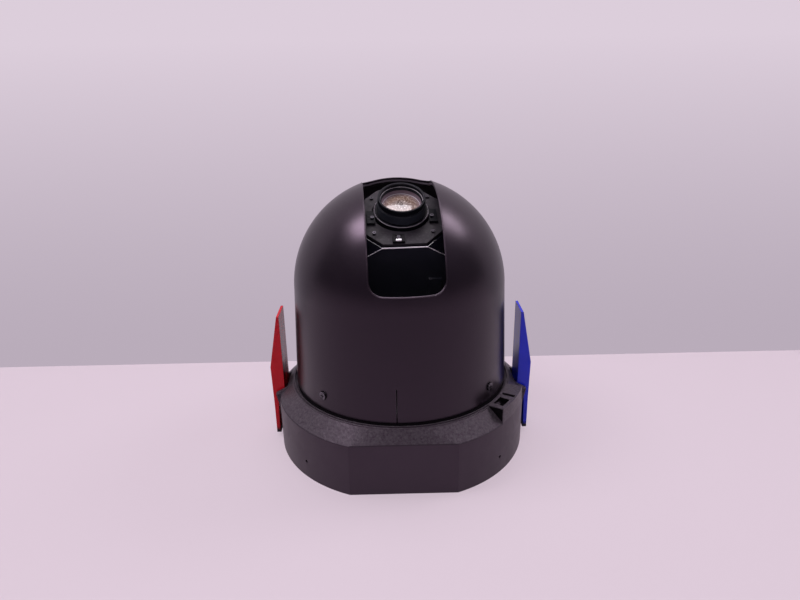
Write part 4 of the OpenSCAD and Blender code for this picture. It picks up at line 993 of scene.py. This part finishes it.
def pad(outline: np.ndarray, facing: np.ndarray, thick: float, rim: float = 0.0) -> np.ndarray:
    """Thin closed pad: rows go from under its middle over a small round, or a rim, to its top.

    Row k is middle + share_k (outline - middle) + lift_k facing.

    Args:
        outline: corners in order, in millimetres; 12 points are laid on each side.
        facing: unit vector out of the surface.
        thick: thickness of the pad.
        rim: height of its rim, where it has one.

    Returns:
        Grid of shape (6, points, 3).
    """
    at = np.arange(12 * len(outline)) / 12.0
    closed = np.vstack([outline, outline[:1]])
    line = np.stack([np.interp(at, np.arange(len(closed)), closed[:, k]) for k in range(3)], axis=1)
    middle = outline.mean(axis=0)
    shoulder = (0.92, 0.92) if rim else (0.985, 0.95)
    share = np.array([0.0, 1.0, 1.0, *shoulder, 0.0])[:, None, None]
    sunk = -0.05
    lift = np.array([sunk, sunk, rim or 0.6 * thick, rim or 0.9 * thick, thick, thick])
    return middle + share * (line - middle) + lift[:, None, None] * facing


@dataclass
class SubAssembly:
    """Pieces that move together: the CAD nodes of one body and what is added to them."""

    palette: Palette
    body: Body

    def dress(self) -> None:
        """Give each CAD node of the body its finish."""
        for node in frame["record"]["behaviour"]["bodies"][self.body.value]:
            self.palette.paint(frame["nodes"][node], self.finish_of(node))
            log.info("dressed %s", node)

    def finish_of(self, node: str) -> Finish:
        """Finish of a CAD node: its own, or its slot's."""
        return OWN_FINISH.get(node) or FINISHES[SLOT_OF[node]]

    def build(self) -> None:
        """Add pieces to the body; a plain body adds none."""

    def soften(self, node: str, width: float) -> Object:
        """Stand a copy of a CAD node with rounded edges in its place.

        Args:
            node: name of the CAD node.
            width: width of the rounding in millimetres.

        Returns:
            The copy: its triangles merged, flat faces joined, and sharp edges rounded.
        """
        work = bmesh.new()
        work.from_mesh(frame["nodes"][node].data)
        bmesh.ops.remove_doubles(work, verts=work.verts, dist=ONE_CAD_POINT)
        bmesh.ops.dissolve_limit(work, angle_limit=math.radians(ONE_FLAT_DEG), verts=work.verts,
                                 edges=work.edges)
        mesh = bpy.data.meshes.new(node + "_soft")
        work.to_mesh(mesh)
        work.free()
        made = shown(mesh, SOFT_SHARP_DEG)
        rounding = made.modifiers.new("rounding", "BEVEL")
        rounding.width, rounding.segments = width * MM, ROUND_STEPS
        rounding.limit_method, rounding.angle_limit = "ANGLE", math.radians(ROUND_FROM_DEG)
        rounding.harden_normals = True
        self.fix(made, SLOT_OF[node], self.finish_of(node))
        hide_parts(node)
        return made

    def fix(self, piece: Object, slot: str, finish: Finish | None = None) -> Object:
        """Dress a new piece and let it ride on the body.

        Args:
            piece: the new piece, in place.
            slot: slot of the record that its finish belongs to.
            finish: finish of its own, where it differs from the slot's.

        Returns:
            The same piece.
        """
        self.palette.paint(piece, finish or FINISHES[slot])
        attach(piece, self.body.value)
        log.info("added %s with %d faces", piece.name, len(piece.data.polygons))
        return piece


@dataclass
class BaseUnit(SubAssembly):
    """Fixed base with its ring, board, motor and bearing."""

    deck_z: float = 41.0
    seal_r: tuple[float, float] = (66.6, 68.2)
    seal_top: float = 44.05
    seal_crown: float = 0.4
    key_skew: float = 1.6
    flank_t: float = 0.3
    flank_top: float = 0.4
    flank_out: float = 0.3
    flank_tip: float = 1.4
    flank_foot: float = 1.9
    pocket_deg: float = 53.3
    pocket: tuple[float, float] = (9.0, 6.5)
    pocket_in: float = 2.4
    pocket_depth: float = 3.8
    tray_t: float = 0.4
    tray_gap: float = 0.05
    tray_low: float = 0.2

    def seal(self) -> np.ndarray:
        """Felt ring under the drum's rim: a box section with a round top, carried round the axis.

        Returns:
            Grid whose point (r, z) of the section stands at (r cos t, r sin t, z).
        """
        inner, outer = self.seal_r
        q = np.linspace(0.0, np.pi, 12)
        mid, half = (inner + outer) / 2, (outer - inner) / 2
        crown = self.seal_top - self.seal_crown + self.seal_crown * np.sin(q)
        top = np.stack([mid + half * np.cos(q), crown], axis=1)
        section = np.vstack([[[outer, self.deck_z]], top, [[inner, self.deck_z]]])
        t = np.linspace(0.0, 2.0 * np.pi, 240, endpoint=False)
        r, z = section[:, :1], section[:, 1:]
        return np.stack([r * np.cos(t), r * np.sin(t), z + 0.0 * t], axis=-1)

    def key_flank(self) -> tuple[np.ndarray, np.ndarray]:
        """Lay out the pad on the key block's flank.

        A point of the flank at radius r lies at (r sin a, -r cos a), where a runs on by key_skew
        over the ring.

        Returns:
            Corners of the pad, a little inside the flank's edges, and the way that it faces.
        """
        slope = (RING_Z - WALL_Z) / (BASE_R - RING_R)
        high, out = RING_Z - self.flank_top, BASE_R - self.flank_out
        r = np.array([BASE_R - (high - WALL_Z) / slope + self.flank_tip, out, out])
        z = np.array([high, high, WALL_Z + self.flank_foot])
        a = np.radians(KEY_DEG[0] + self.key_skew * (r - BASE_R) / (BASE_R - RING_R))
        corners = np.stack([r * np.sin(a), -r * np.cos(a), z], axis=1)
        facing = np.cross(corners[1] - corners[0], np.array([0.0, 0.0, -1.0]))
        facing *= -np.sign(facing[0]) / np.linalg.norm(facing)
        return corners, facing

    def pocket_floor(self) -> np.ndarray:
        """Lay out the tray on the floor of the key block's pocket.

        Returns:
            Its four corners.
        """
        half = self.pocket[0] / 2 - self.tray_gap
        front = -BASE_R + self.pocket_in + self.tray_gap
        back = front + self.pocket[1] - 2 * self.tray_gap
        plan = np.array([[-half, front], [half, front], [half, back], [-half, back]])
        b = math.radians(self.pocket_deg)
        turn = np.array([[math.cos(b), -math.sin(b)], [math.sin(b), math.cos(b)]])
        return np.column_stack([plan @ turn.T, np.full(4, RING_Z - self.pocket_depth)])

    def build(self) -> None:
        """Lay the felt under the drum's rim, and the black pads of painted shade on the key block.
        """
        # Felt ring in the gap under the drum's rim, near black as the gap's painted shade
        ring = skin("gap_shade_ring", self.seal(), wrap_u=True, wrap_v=True)
        self.fix(ring, "base_plastic", GAP_SHADE_FELT)
        flank = pad(*self.key_flank(), self.flank_t)
        tray = pad(self.pocket_floor(), np.array([0.0, 0.0, 1.0]), self.tray_t,
                   self.pocket_depth - self.tray_low)
        # Black pads of painted shade on the key block's flank and on its pocket floor
        for name, grid in (("key_flank_shade_pad", flank), ("key_pocket_shade_pad", tray)):
            self.fix(skin(name, grid, wrap_v=True), "base_plastic", SHADE_PAD)


@dataclass
class PanDrum(SubAssembly):
    """Panning drum with its dome, its slot and the drive that it carries."""

    dome_r: float = 66.0
    slot_w: float = 43.0
    slot_sill: float = 13.2
    slot_corner: float = 8.0
    slot_back_deg: float = 21.0
    bead_r: float = 0.42
    bead_sunk: float = 0.6

    def slot_edge(self) -> np.ndarray:
        """Closed line of the slot on the dome.

        The front is the upright outline (x, z) carried back to the sphere, y = -sqrt(R2 - x2 - z2),
        and the rear is the plan outline (x, y) carried up to it, z = sqrt(R2 - x2 - y2). Corners
        are quarter circles, and an arc of the sphere joins front and rear.

        Returns:
            Points relative to the dome's centre.
        """
        half, c = self.slot_w / 2, self.slot_corner
        back = self.dome_r * math.sin(math.radians(self.slot_back_deg))
        q = np.linspace(0.0, np.pi / 2, 24)
        corner = np.stack([half - c + c * np.sin(q), c - c * np.cos(q)], axis=1)
        low = np.stack([np.linspace(0.0, half - c, 40)[:-1], np.zeros(39)], axis=1)
        front = np.vstack([low, corner]) + np.array([0.0, self.slot_sill])
        rear = np.vstack([low, corner])[::-1] * np.array([1.0, -1.0]) + np.array([0.0, back])
        side_r = math.sqrt(self.dome_r ** 2 - half ** 2)
        start = math.asin(front[-1, 1] / side_r)
        arc = np.linspace(start, math.pi - math.acos(rear[0, 1] / side_r), 120)[1:-1]
        reach = np.sqrt(self.dome_r ** 2 - (front ** 2).sum(1))
        first = np.stack([front[:, 0], -reach, front[:, 1]], axis=1)
        middle = np.stack([np.full_like(arc, half), -side_r * np.cos(arc), side_r * np.sin(arc)],
                          axis=1)
        lift = np.sqrt(self.dome_r ** 2 - (rear ** 2).sum(1))
        last = np.stack([rear[:, 0], rear[:, 1], lift], axis=1)
        right = np.vstack([first, middle, last])
        left = (right * np.array([-1.0, 1.0, 1.0]))[::-1]
        return np.vstack([right, left[1:-1]])

    def build(self) -> None:
        """Roll a small bead round the edge of the slot."""
        outward = self.slot_edge() / self.dome_r
        sphere_r = self.dome_r - self.bead_r * self.bead_sunk
        centre = outward * sphere_r + np.array([0.0, 0.0, DOME_Z])
        path, away = (np.vstack([line[-2:], line, line[:2]]) for line in (centre, outward))
        grid = HEAD.panned(bead(path, away, self.bead_r)[2:-2])
        self.fix(skin("slot_bead", grid, wrap_u=True, wrap_v=True), "drum_plastic")


@dataclass
class Lever(SubAssembly):
    """Quick release lever at one side of the base."""

    edge: float = 0.5

    def build(self) -> None:
        """Round the lever's edges."""
        self.soften(self.body.value, self.edge)


@dataclass(frozen=True)
class LensBead:
    """Round bead about the lens axis."""

    name: str
    r: float
    reach: float
    thick: float
    finish: Finish

    def section(self) -> np.ndarray:
        """Circle in radius and reach: (r + thick cos t, reach + thick sin t)."""
        t = np.linspace(0.0, 2.0 * np.pi, 16, endpoint=False)
        return (self.r, self.reach) + self.thick * np.stack([np.cos(t), np.sin(t)], axis=1)


@dataclass
class CameraHead(SubAssembly):
    """Tilting camera head: housing, face plate and the optics in its barrel."""

    half_w: float = 25.0
    front: float = 20.4
    corner_cut: float = 12.0
    corner_depth: float = 8.0
    trim_r: float = 0.4
    trim_lean: Triple = (0.45, -0.75, -0.6)
    band_r: tuple[float, float] = (14.4, 14.47)
    band_reach: tuple[float, float] = (24.4, 29.9)
    clip_at: Triple = (-3.4, 23.6, -26.4)
    sleeve_half: float = 1.85
    sleeve_r: float = 0.88
    rim_bore: float = 12.9
    rim_reach: float = 33.5
    cone_reach: float = 31.0
    thread_from: float = 29.3
    thread_r: float = 11.95
    thread_count: int = 5
    thread_depth: float = 0.35
    thread_end: float = 0.25
    thread_wall: float = 0.1
    bore_gap: float = 0.05
    cone_gap: float = 0.25
    cone_step: float = 0.3
    softened: tuple[tuple[str, float], ...] = (("camera_housing", 0.35), ("face_plate", 0.25),
                                               ("face_clip", 0.25))
    # Thin pale and grey rings on the lens's edges: painted highlights
    beads: tuple[LensBead, ...] = (LensBead("collar_bead", 16.05, 23.8, 0.3, GREY_PAINTED_HIGHLIGHT),
                                   LensBead("rim_bead", 12.95, 33.36, 0.1, GREY_PAINTED_HIGHLIGHT),
                                   LensBead("thread_bead", 12.45, 31.25, 0.12, PALE_PAINTED_HIGHLIGHT),
                                   LensBead("glass_bead", 11.12, 27.2, 0.2, PALE_PAINTED_HIGHLIGHT))

    def threads(self) -> np.ndarray:
        """Ridges inside the rim, on a thin sleeve that follows the cone and then the bore.

        Returns:
            Closed profile of radius and reach; its face is wall - thread_depth |sin|.
        """
        s = np.linspace(0.0, 1.0, 121)
        reach = self.thread_from + s * (self.rim_reach - self.thread_end - self.thread_from)
        bore, cone = self.rim_bore - self.bore_gap, self.rim_bore - self.cone_gap
        wall = np.interp(reach, (self.thread_from, self.cone_reach,
                                 self.cone_reach + self.cone_step, self.rim_reach),
                         (self.thread_r, cone, bore, bore))
        ridge = self.thread_depth * np.abs(np.sin(s * self.thread_count * np.pi))
        face = np.stack([wall - ridge, reach], axis=1)
        root = np.stack([wall + self.thread_wall, reach], axis=1)[::-6]
        return np.vstack([face, root])

    def edge_highlight(self) -> np.ndarray:
        """Painted highlight bead along the lower front edge and down both cut corners; its ends run
        out to 0.

        The line runs (w, -f + d), (w - c, -f), (c - w, -f), (-w, -f + d) in plan, with 24 points on
        each stretch.

        Returns:
            Grid of the bead in the head's frame.
        """
        x, y = self.half_w, -self.front
        flat = x - self.corner_cut
        knots = np.array([[x, y + self.corner_depth], [flat, y], [-flat, y],
                          [-x, y + self.corner_depth]])
        at = np.linspace(0.0, 3.0, 73)
        plan = np.stack([np.interp(at, np.arange(4), knots[:, k]) for k in (0, 1)], axis=1)
        side = np.clip((plan[:, 0] / flat) ** 9, -1.0, 1.0)[:, None]
        outward = np.hstack([side, np.ones((len(side), 2))]) * np.array(self.trim_lean)
        outward /= np.linalg.norm(outward, axis=1, keepdims=True)
        edge = np.column_stack([plan, np.full(len(plan), -HEAD_FLOOR)])
        path = edge - 0.5 * self.trim_r * outward
        thick = np.where(np.abs(plan[:, 0]) <= flat + 0.1, self.trim_r, 0.6 * self.trim_r)
        thick[[0, -1]] = 0.0
        return bead(path, outward, thick)

    def clip_sleeve(self) -> np.ndarray:
        """Bright sleeve on the clip's tongue: a tube along X with closed, rounded ends.

        Returns:
            Grid of the sleeve in the head's frame.
        """
        x = np.linspace(-1.0, 1.0, 13)
        path = np.column_stack([self.clip_at[0] + x * self.sleeve_half,
                                np.full_like(x, -self.clip_at[1]),
                                np.full_like(x, self.clip_at[2])])
        thick = np.full(len(x), self.sleeve_r)
        thick[[0, -1]], thick[[1, -2]] = 0.0, 0.85 * self.sleeve_r
        path[[1, -2], 0] = self.clip_at[0] + np.array([-1.0, 1.0]) * (self.sleeve_half - 0.05)
        return bead(path, np.tile([0.0, -1.0, 0.0], (len(x), 1)), thick)

    def turned(self, name: str, profile: np.ndarray, finish: Finish | None = None) -> None:
        """Add a piece of the lens whose closed profile goes round the lens axis."""
        grid = HEAD.placed(lathe(profile))
        self.fix(skin(name, grid, wrap_u=True, wrap_v=True), "lens_black", finish)

    def build(self) -> None:
        """Round the edges of the head, and add the painted highlight beads of its edge and lens,
        and the clip's sleeve.
        """
        for node, width in self.softened:
            self.soften(node, width)
        trim, sleeve = HEAD.placed(self.edge_highlight()), HEAD.placed(self.clip_sleeve())
        # Pale bead of painted highlight along the housing's lower front edge
        self.fix(skin("edge_highlight", trim, wrap_v=True), "camera_plastic", PALE_PAINTED_HIGHLIGHT)
        for ring in self.beads:
            self.turned(ring.name, ring.section(), ring.finish)
        # The sleeve band: a thin shell of painted sheen over the barrel
        (inner, outer), (low, high) = self.band_r, self.band_reach
        band = np.array([[inner, low], [outer, low], [outer, high], [inner, high]])
        self.turned("sleeve_band", band, SLEEVE_PAINTED_SHEEN)
        self.fix(skin("clip_sleeve", sleeve, wrap_v=True), "face_plastic", NICKEL)
        self.turned("rim_threads", self.threads())


@dataclass(frozen=True)
class Softbox:
    """Soft lamp that stands off the object in one direction."""

    name: str
    towards: Triple
    distance: float
    size: tuple[float, float]
    radiance: float
    colour: str = "#fff6fd"

    def hang(self, target: Vector) -> None:
        """Hang the lamp so that it faces a point; its power is radiance times pi times its area.

        Args:
            target: the point, in metres.
        """
        lamp = bpy.data.lights.new(self.name, "AREA")
        lamp.shape = "RECTANGLE"
        lamp.size, lamp.size_y = self.size[0] * MM, self.size[1] * MM
        lamp.energy = self.radiance * math.pi * lamp.size * lamp.size_y
        lamp.color = linear(self.colour)[:3]
        away = Vector(self.towards).normalized()
        stand = bpy.data.objects.new(self.name, lamp)
        stand.location = target + away * self.distance * MM
        stand.rotation_euler = away.to_track_quat("Z", "Y").to_euler()
        bpy.context.scene.collection.objects.link(stand)


@dataclass
class Studio:
    """Camera, pale floor, backdrop, far wall and lamps."""

    palette: Palette
    eye: Triple = (-4.225, -389.015, 243.519)
    pitch_deg: float = 21.122
    yaw_deg: float = -0.656
    roll_deg: float = -0.95
    focal: float = 29.25
    floor_half: float = 4000.0
    wall_y: float = 104.0
    wall_half: float = 700.0
    wall_h: float = 420.0
    far_r: float = 3900.0
    far_h: float = 2500.0
    aim_z: float = 120.0
    # Room light from the horizon and from above
    room: tuple[str, str] = ("#544d57", "#958d98")
    lamps: tuple[Softbox, ...] = (
        Softbox("top_softbox", (0.0, 0.22, 0.975), 800.0, (400.0, 300.0), 8.5),
        Softbox("left_softbox", (-0.50, -0.05, 0.862), 950.0, (340.0, 340.0), 15.0),
        Softbox("right_softbox", (0.68, 0.25, 0.69), 950.0, (330.0, 330.0), 12.5),
        Softbox("front_fill", (0.0, -0.62, 0.78), 1300.0, (900.0, 500.0), 4.3),
    )

    def set_camera(self) -> None:
        """Stand the camera where the view was taken from.

        The axis looks down by the pitch and round by the yaw, and the frame is turned about it by
        the roll.
        """
        p, y, r = (math.radians(a) for a in (self.pitch_deg, self.yaw_deg, self.roll_deg))
        ahead = Vector((-math.sin(y) * math.cos(p), math.cos(y) * math.cos(p), -math.sin(p)))
        flat = Vector((math.cos(y), math.sin(y), 0.0))
        top = flat.cross(ahead)
        right = flat * math.cos(r) + top * math.sin(r)
        up = top * math.cos(r) - flat * math.sin(r)
        data = bpy.data.cameras.new("view_camera")
        data.sensor_width, data.lens = 36.0, self.focal
        data.clip_start, data.clip_end = 0.01, 50.0
        camera = bpy.data.objects.new("view_camera", data)
        turn = Matrix((right, up, -ahead)).transposed().to_4x4()
        camera.matrix_world = Matrix.Translation(Vector(self.eye) * MM) @ turn
        bpy.context.scene.collection.objects.link(camera)
        bpy.context.scene.camera = camera

    def board(self, name: str, points: np.ndarray, finish: LitBoard, wrap: bool = False) -> Object:
        """Stand a board of the studio on the stage.

        Args:
            name: name of the board.
            points: grid over the board, in millimetres.
            finish: its paint and glow.
            wrap: join its last column to its first.

        Returns:
            The board.
        """
        sheet = skin(name, points, wrap_v=wrap)
        self.palette.paint(sheet, finish)
        return sheet

    def plane(self, name: str, corner: Triple, side: Triple, rise: Triple,
              finish: LitBoard) -> Object:
        """Flat board: corner + u side + v rise, on a grid of u and v from 0 to 1.

        Args:
            name: name of the board.
            corner: its first corner, in millimetres.
            side: edge along u.
            rise: edge along v.
            finish: its paint and glow.

        Returns:
            The board, which faces along side x rise.
        """
        u, v = np.meshgrid(np.linspace(0, 1, 5), np.linspace(0, 1, 5), indexing="ij")
        points = np.array(corner) + u[..., None] * np.array(side) + v[..., None] * np.array(rise)
        sheet = self.board(name, points, finish)
        if sheet.data.polygons[0].normal.dot(Vector(side).cross(Vector(rise))) < 0:
            sheet.data.flip_normals()
        return sheet

    def surround(self) -> None:
        """Far wall that only the eye sees: point (R cos t, R sin t, z) for z from 0 to far_h."""
        t = np.linspace(0.0, 2.0 * np.pi, 96, endpoint=False)
        z = np.array([[0.0], [self.far_h]])
        ring = np.stack([self.far_r * np.cos(t) + 0.0 * z, self.far_r * np.sin(t) + 0.0 * z,
                         z + 0.0 * t], axis=-1)
        wall = self.board("far_wall", ring, LitBoard("lit_far_board", "#d6c9d6", "#d0c3d0",
                                                     "#cdbecb", top_z=1500.0), wrap=True)
        wall.data.flip_normals()
        wall.visible_diffuse = wall.visible_glossy = wall.visible_shadow = False

    def light_room(self) -> None:
        """Give the room a dim light of its own, which grows from the horizon up."""
        scene = bpy.context.scene
        scene.world = scene.world or bpy.data.worlds.new("room")
        scene.world.use_nodes = True
        tree = scene.world.node_tree
        tree.nodes.clear()
        height = add(tree, "SeparateXYZ", {0: add(tree, "TexCoord", out="Generated")}, "Z")
        share = add(tree, "MapRange", {"Value": height, "From Max": 0.6})
        colour = add(tree, "Mix", {0: share, 6: linear(self.room[0]), 7: linear(self.room[1])}, 2,
                     data_type="RGBA")
        add(tree, "OutputWorld", {"Surface": add(tree, "Background", {"Color": colour})})

    def build(self) -> None:
        """Set the camera, the floor, the backdrop, the far wall, the lamps and the room's light."""
        self.set_camera()
        half, wide = self.floor_half, self.wall_half
        self.plane("floor", (-half, -half, 0.0), (2 * half, 0.0, 0.0), (0.0, 2 * half, 0.0),
                   LitBoard("lit_floor_board", "#cfc5cc", "#cac0c7", "#d2c1ce", "#d2c1ce",
                            share=0.72))
        backdrop = self.plane("backdrop", (-wide, self.wall_y, 0.0), (2 * wide, 0.0, 0.0),
                              (0.0, 0.0, self.wall_h),
                              LitBoard("lit_wall_board", "#d6c9d6", "#d0c3d0", open_back=True))
        backdrop.visible_shadow = False
        self.surround()
        for lamp in self.lamps:
            lamp.hang(Vector((0.0, 0.0, self.aim_z * MM)))
        self.light_room()
        bpy.context.scene.view_settings.view_transform = "Standard"


def main() -> None:
    """Build the studio and each sub-assembly."""
    logging.basicConfig(level=logging.INFO, format="%(name)s: %(message)s")
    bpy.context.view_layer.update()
    palette = Palette()
    Studio(palette).build()
    parts: list[SubAssembly] = [BaseUnit(palette, Body.BASE), PanDrum(palette, Body.PAN),
                                CameraHead(palette, Body.TILT), Lever(palette, Body.RED),
                                Lever(palette, Body.BLUE)]
    plain = (Body.PAN_DRIVE, Body.TILT_DRIVE, Body.ZOOM, Body.FOCUS)
    parts += [SubAssembly(palette, body) for body in plain]
    for part in parts:
        part.dress()
        part.build()


if __name__ == "__main__":
    main()
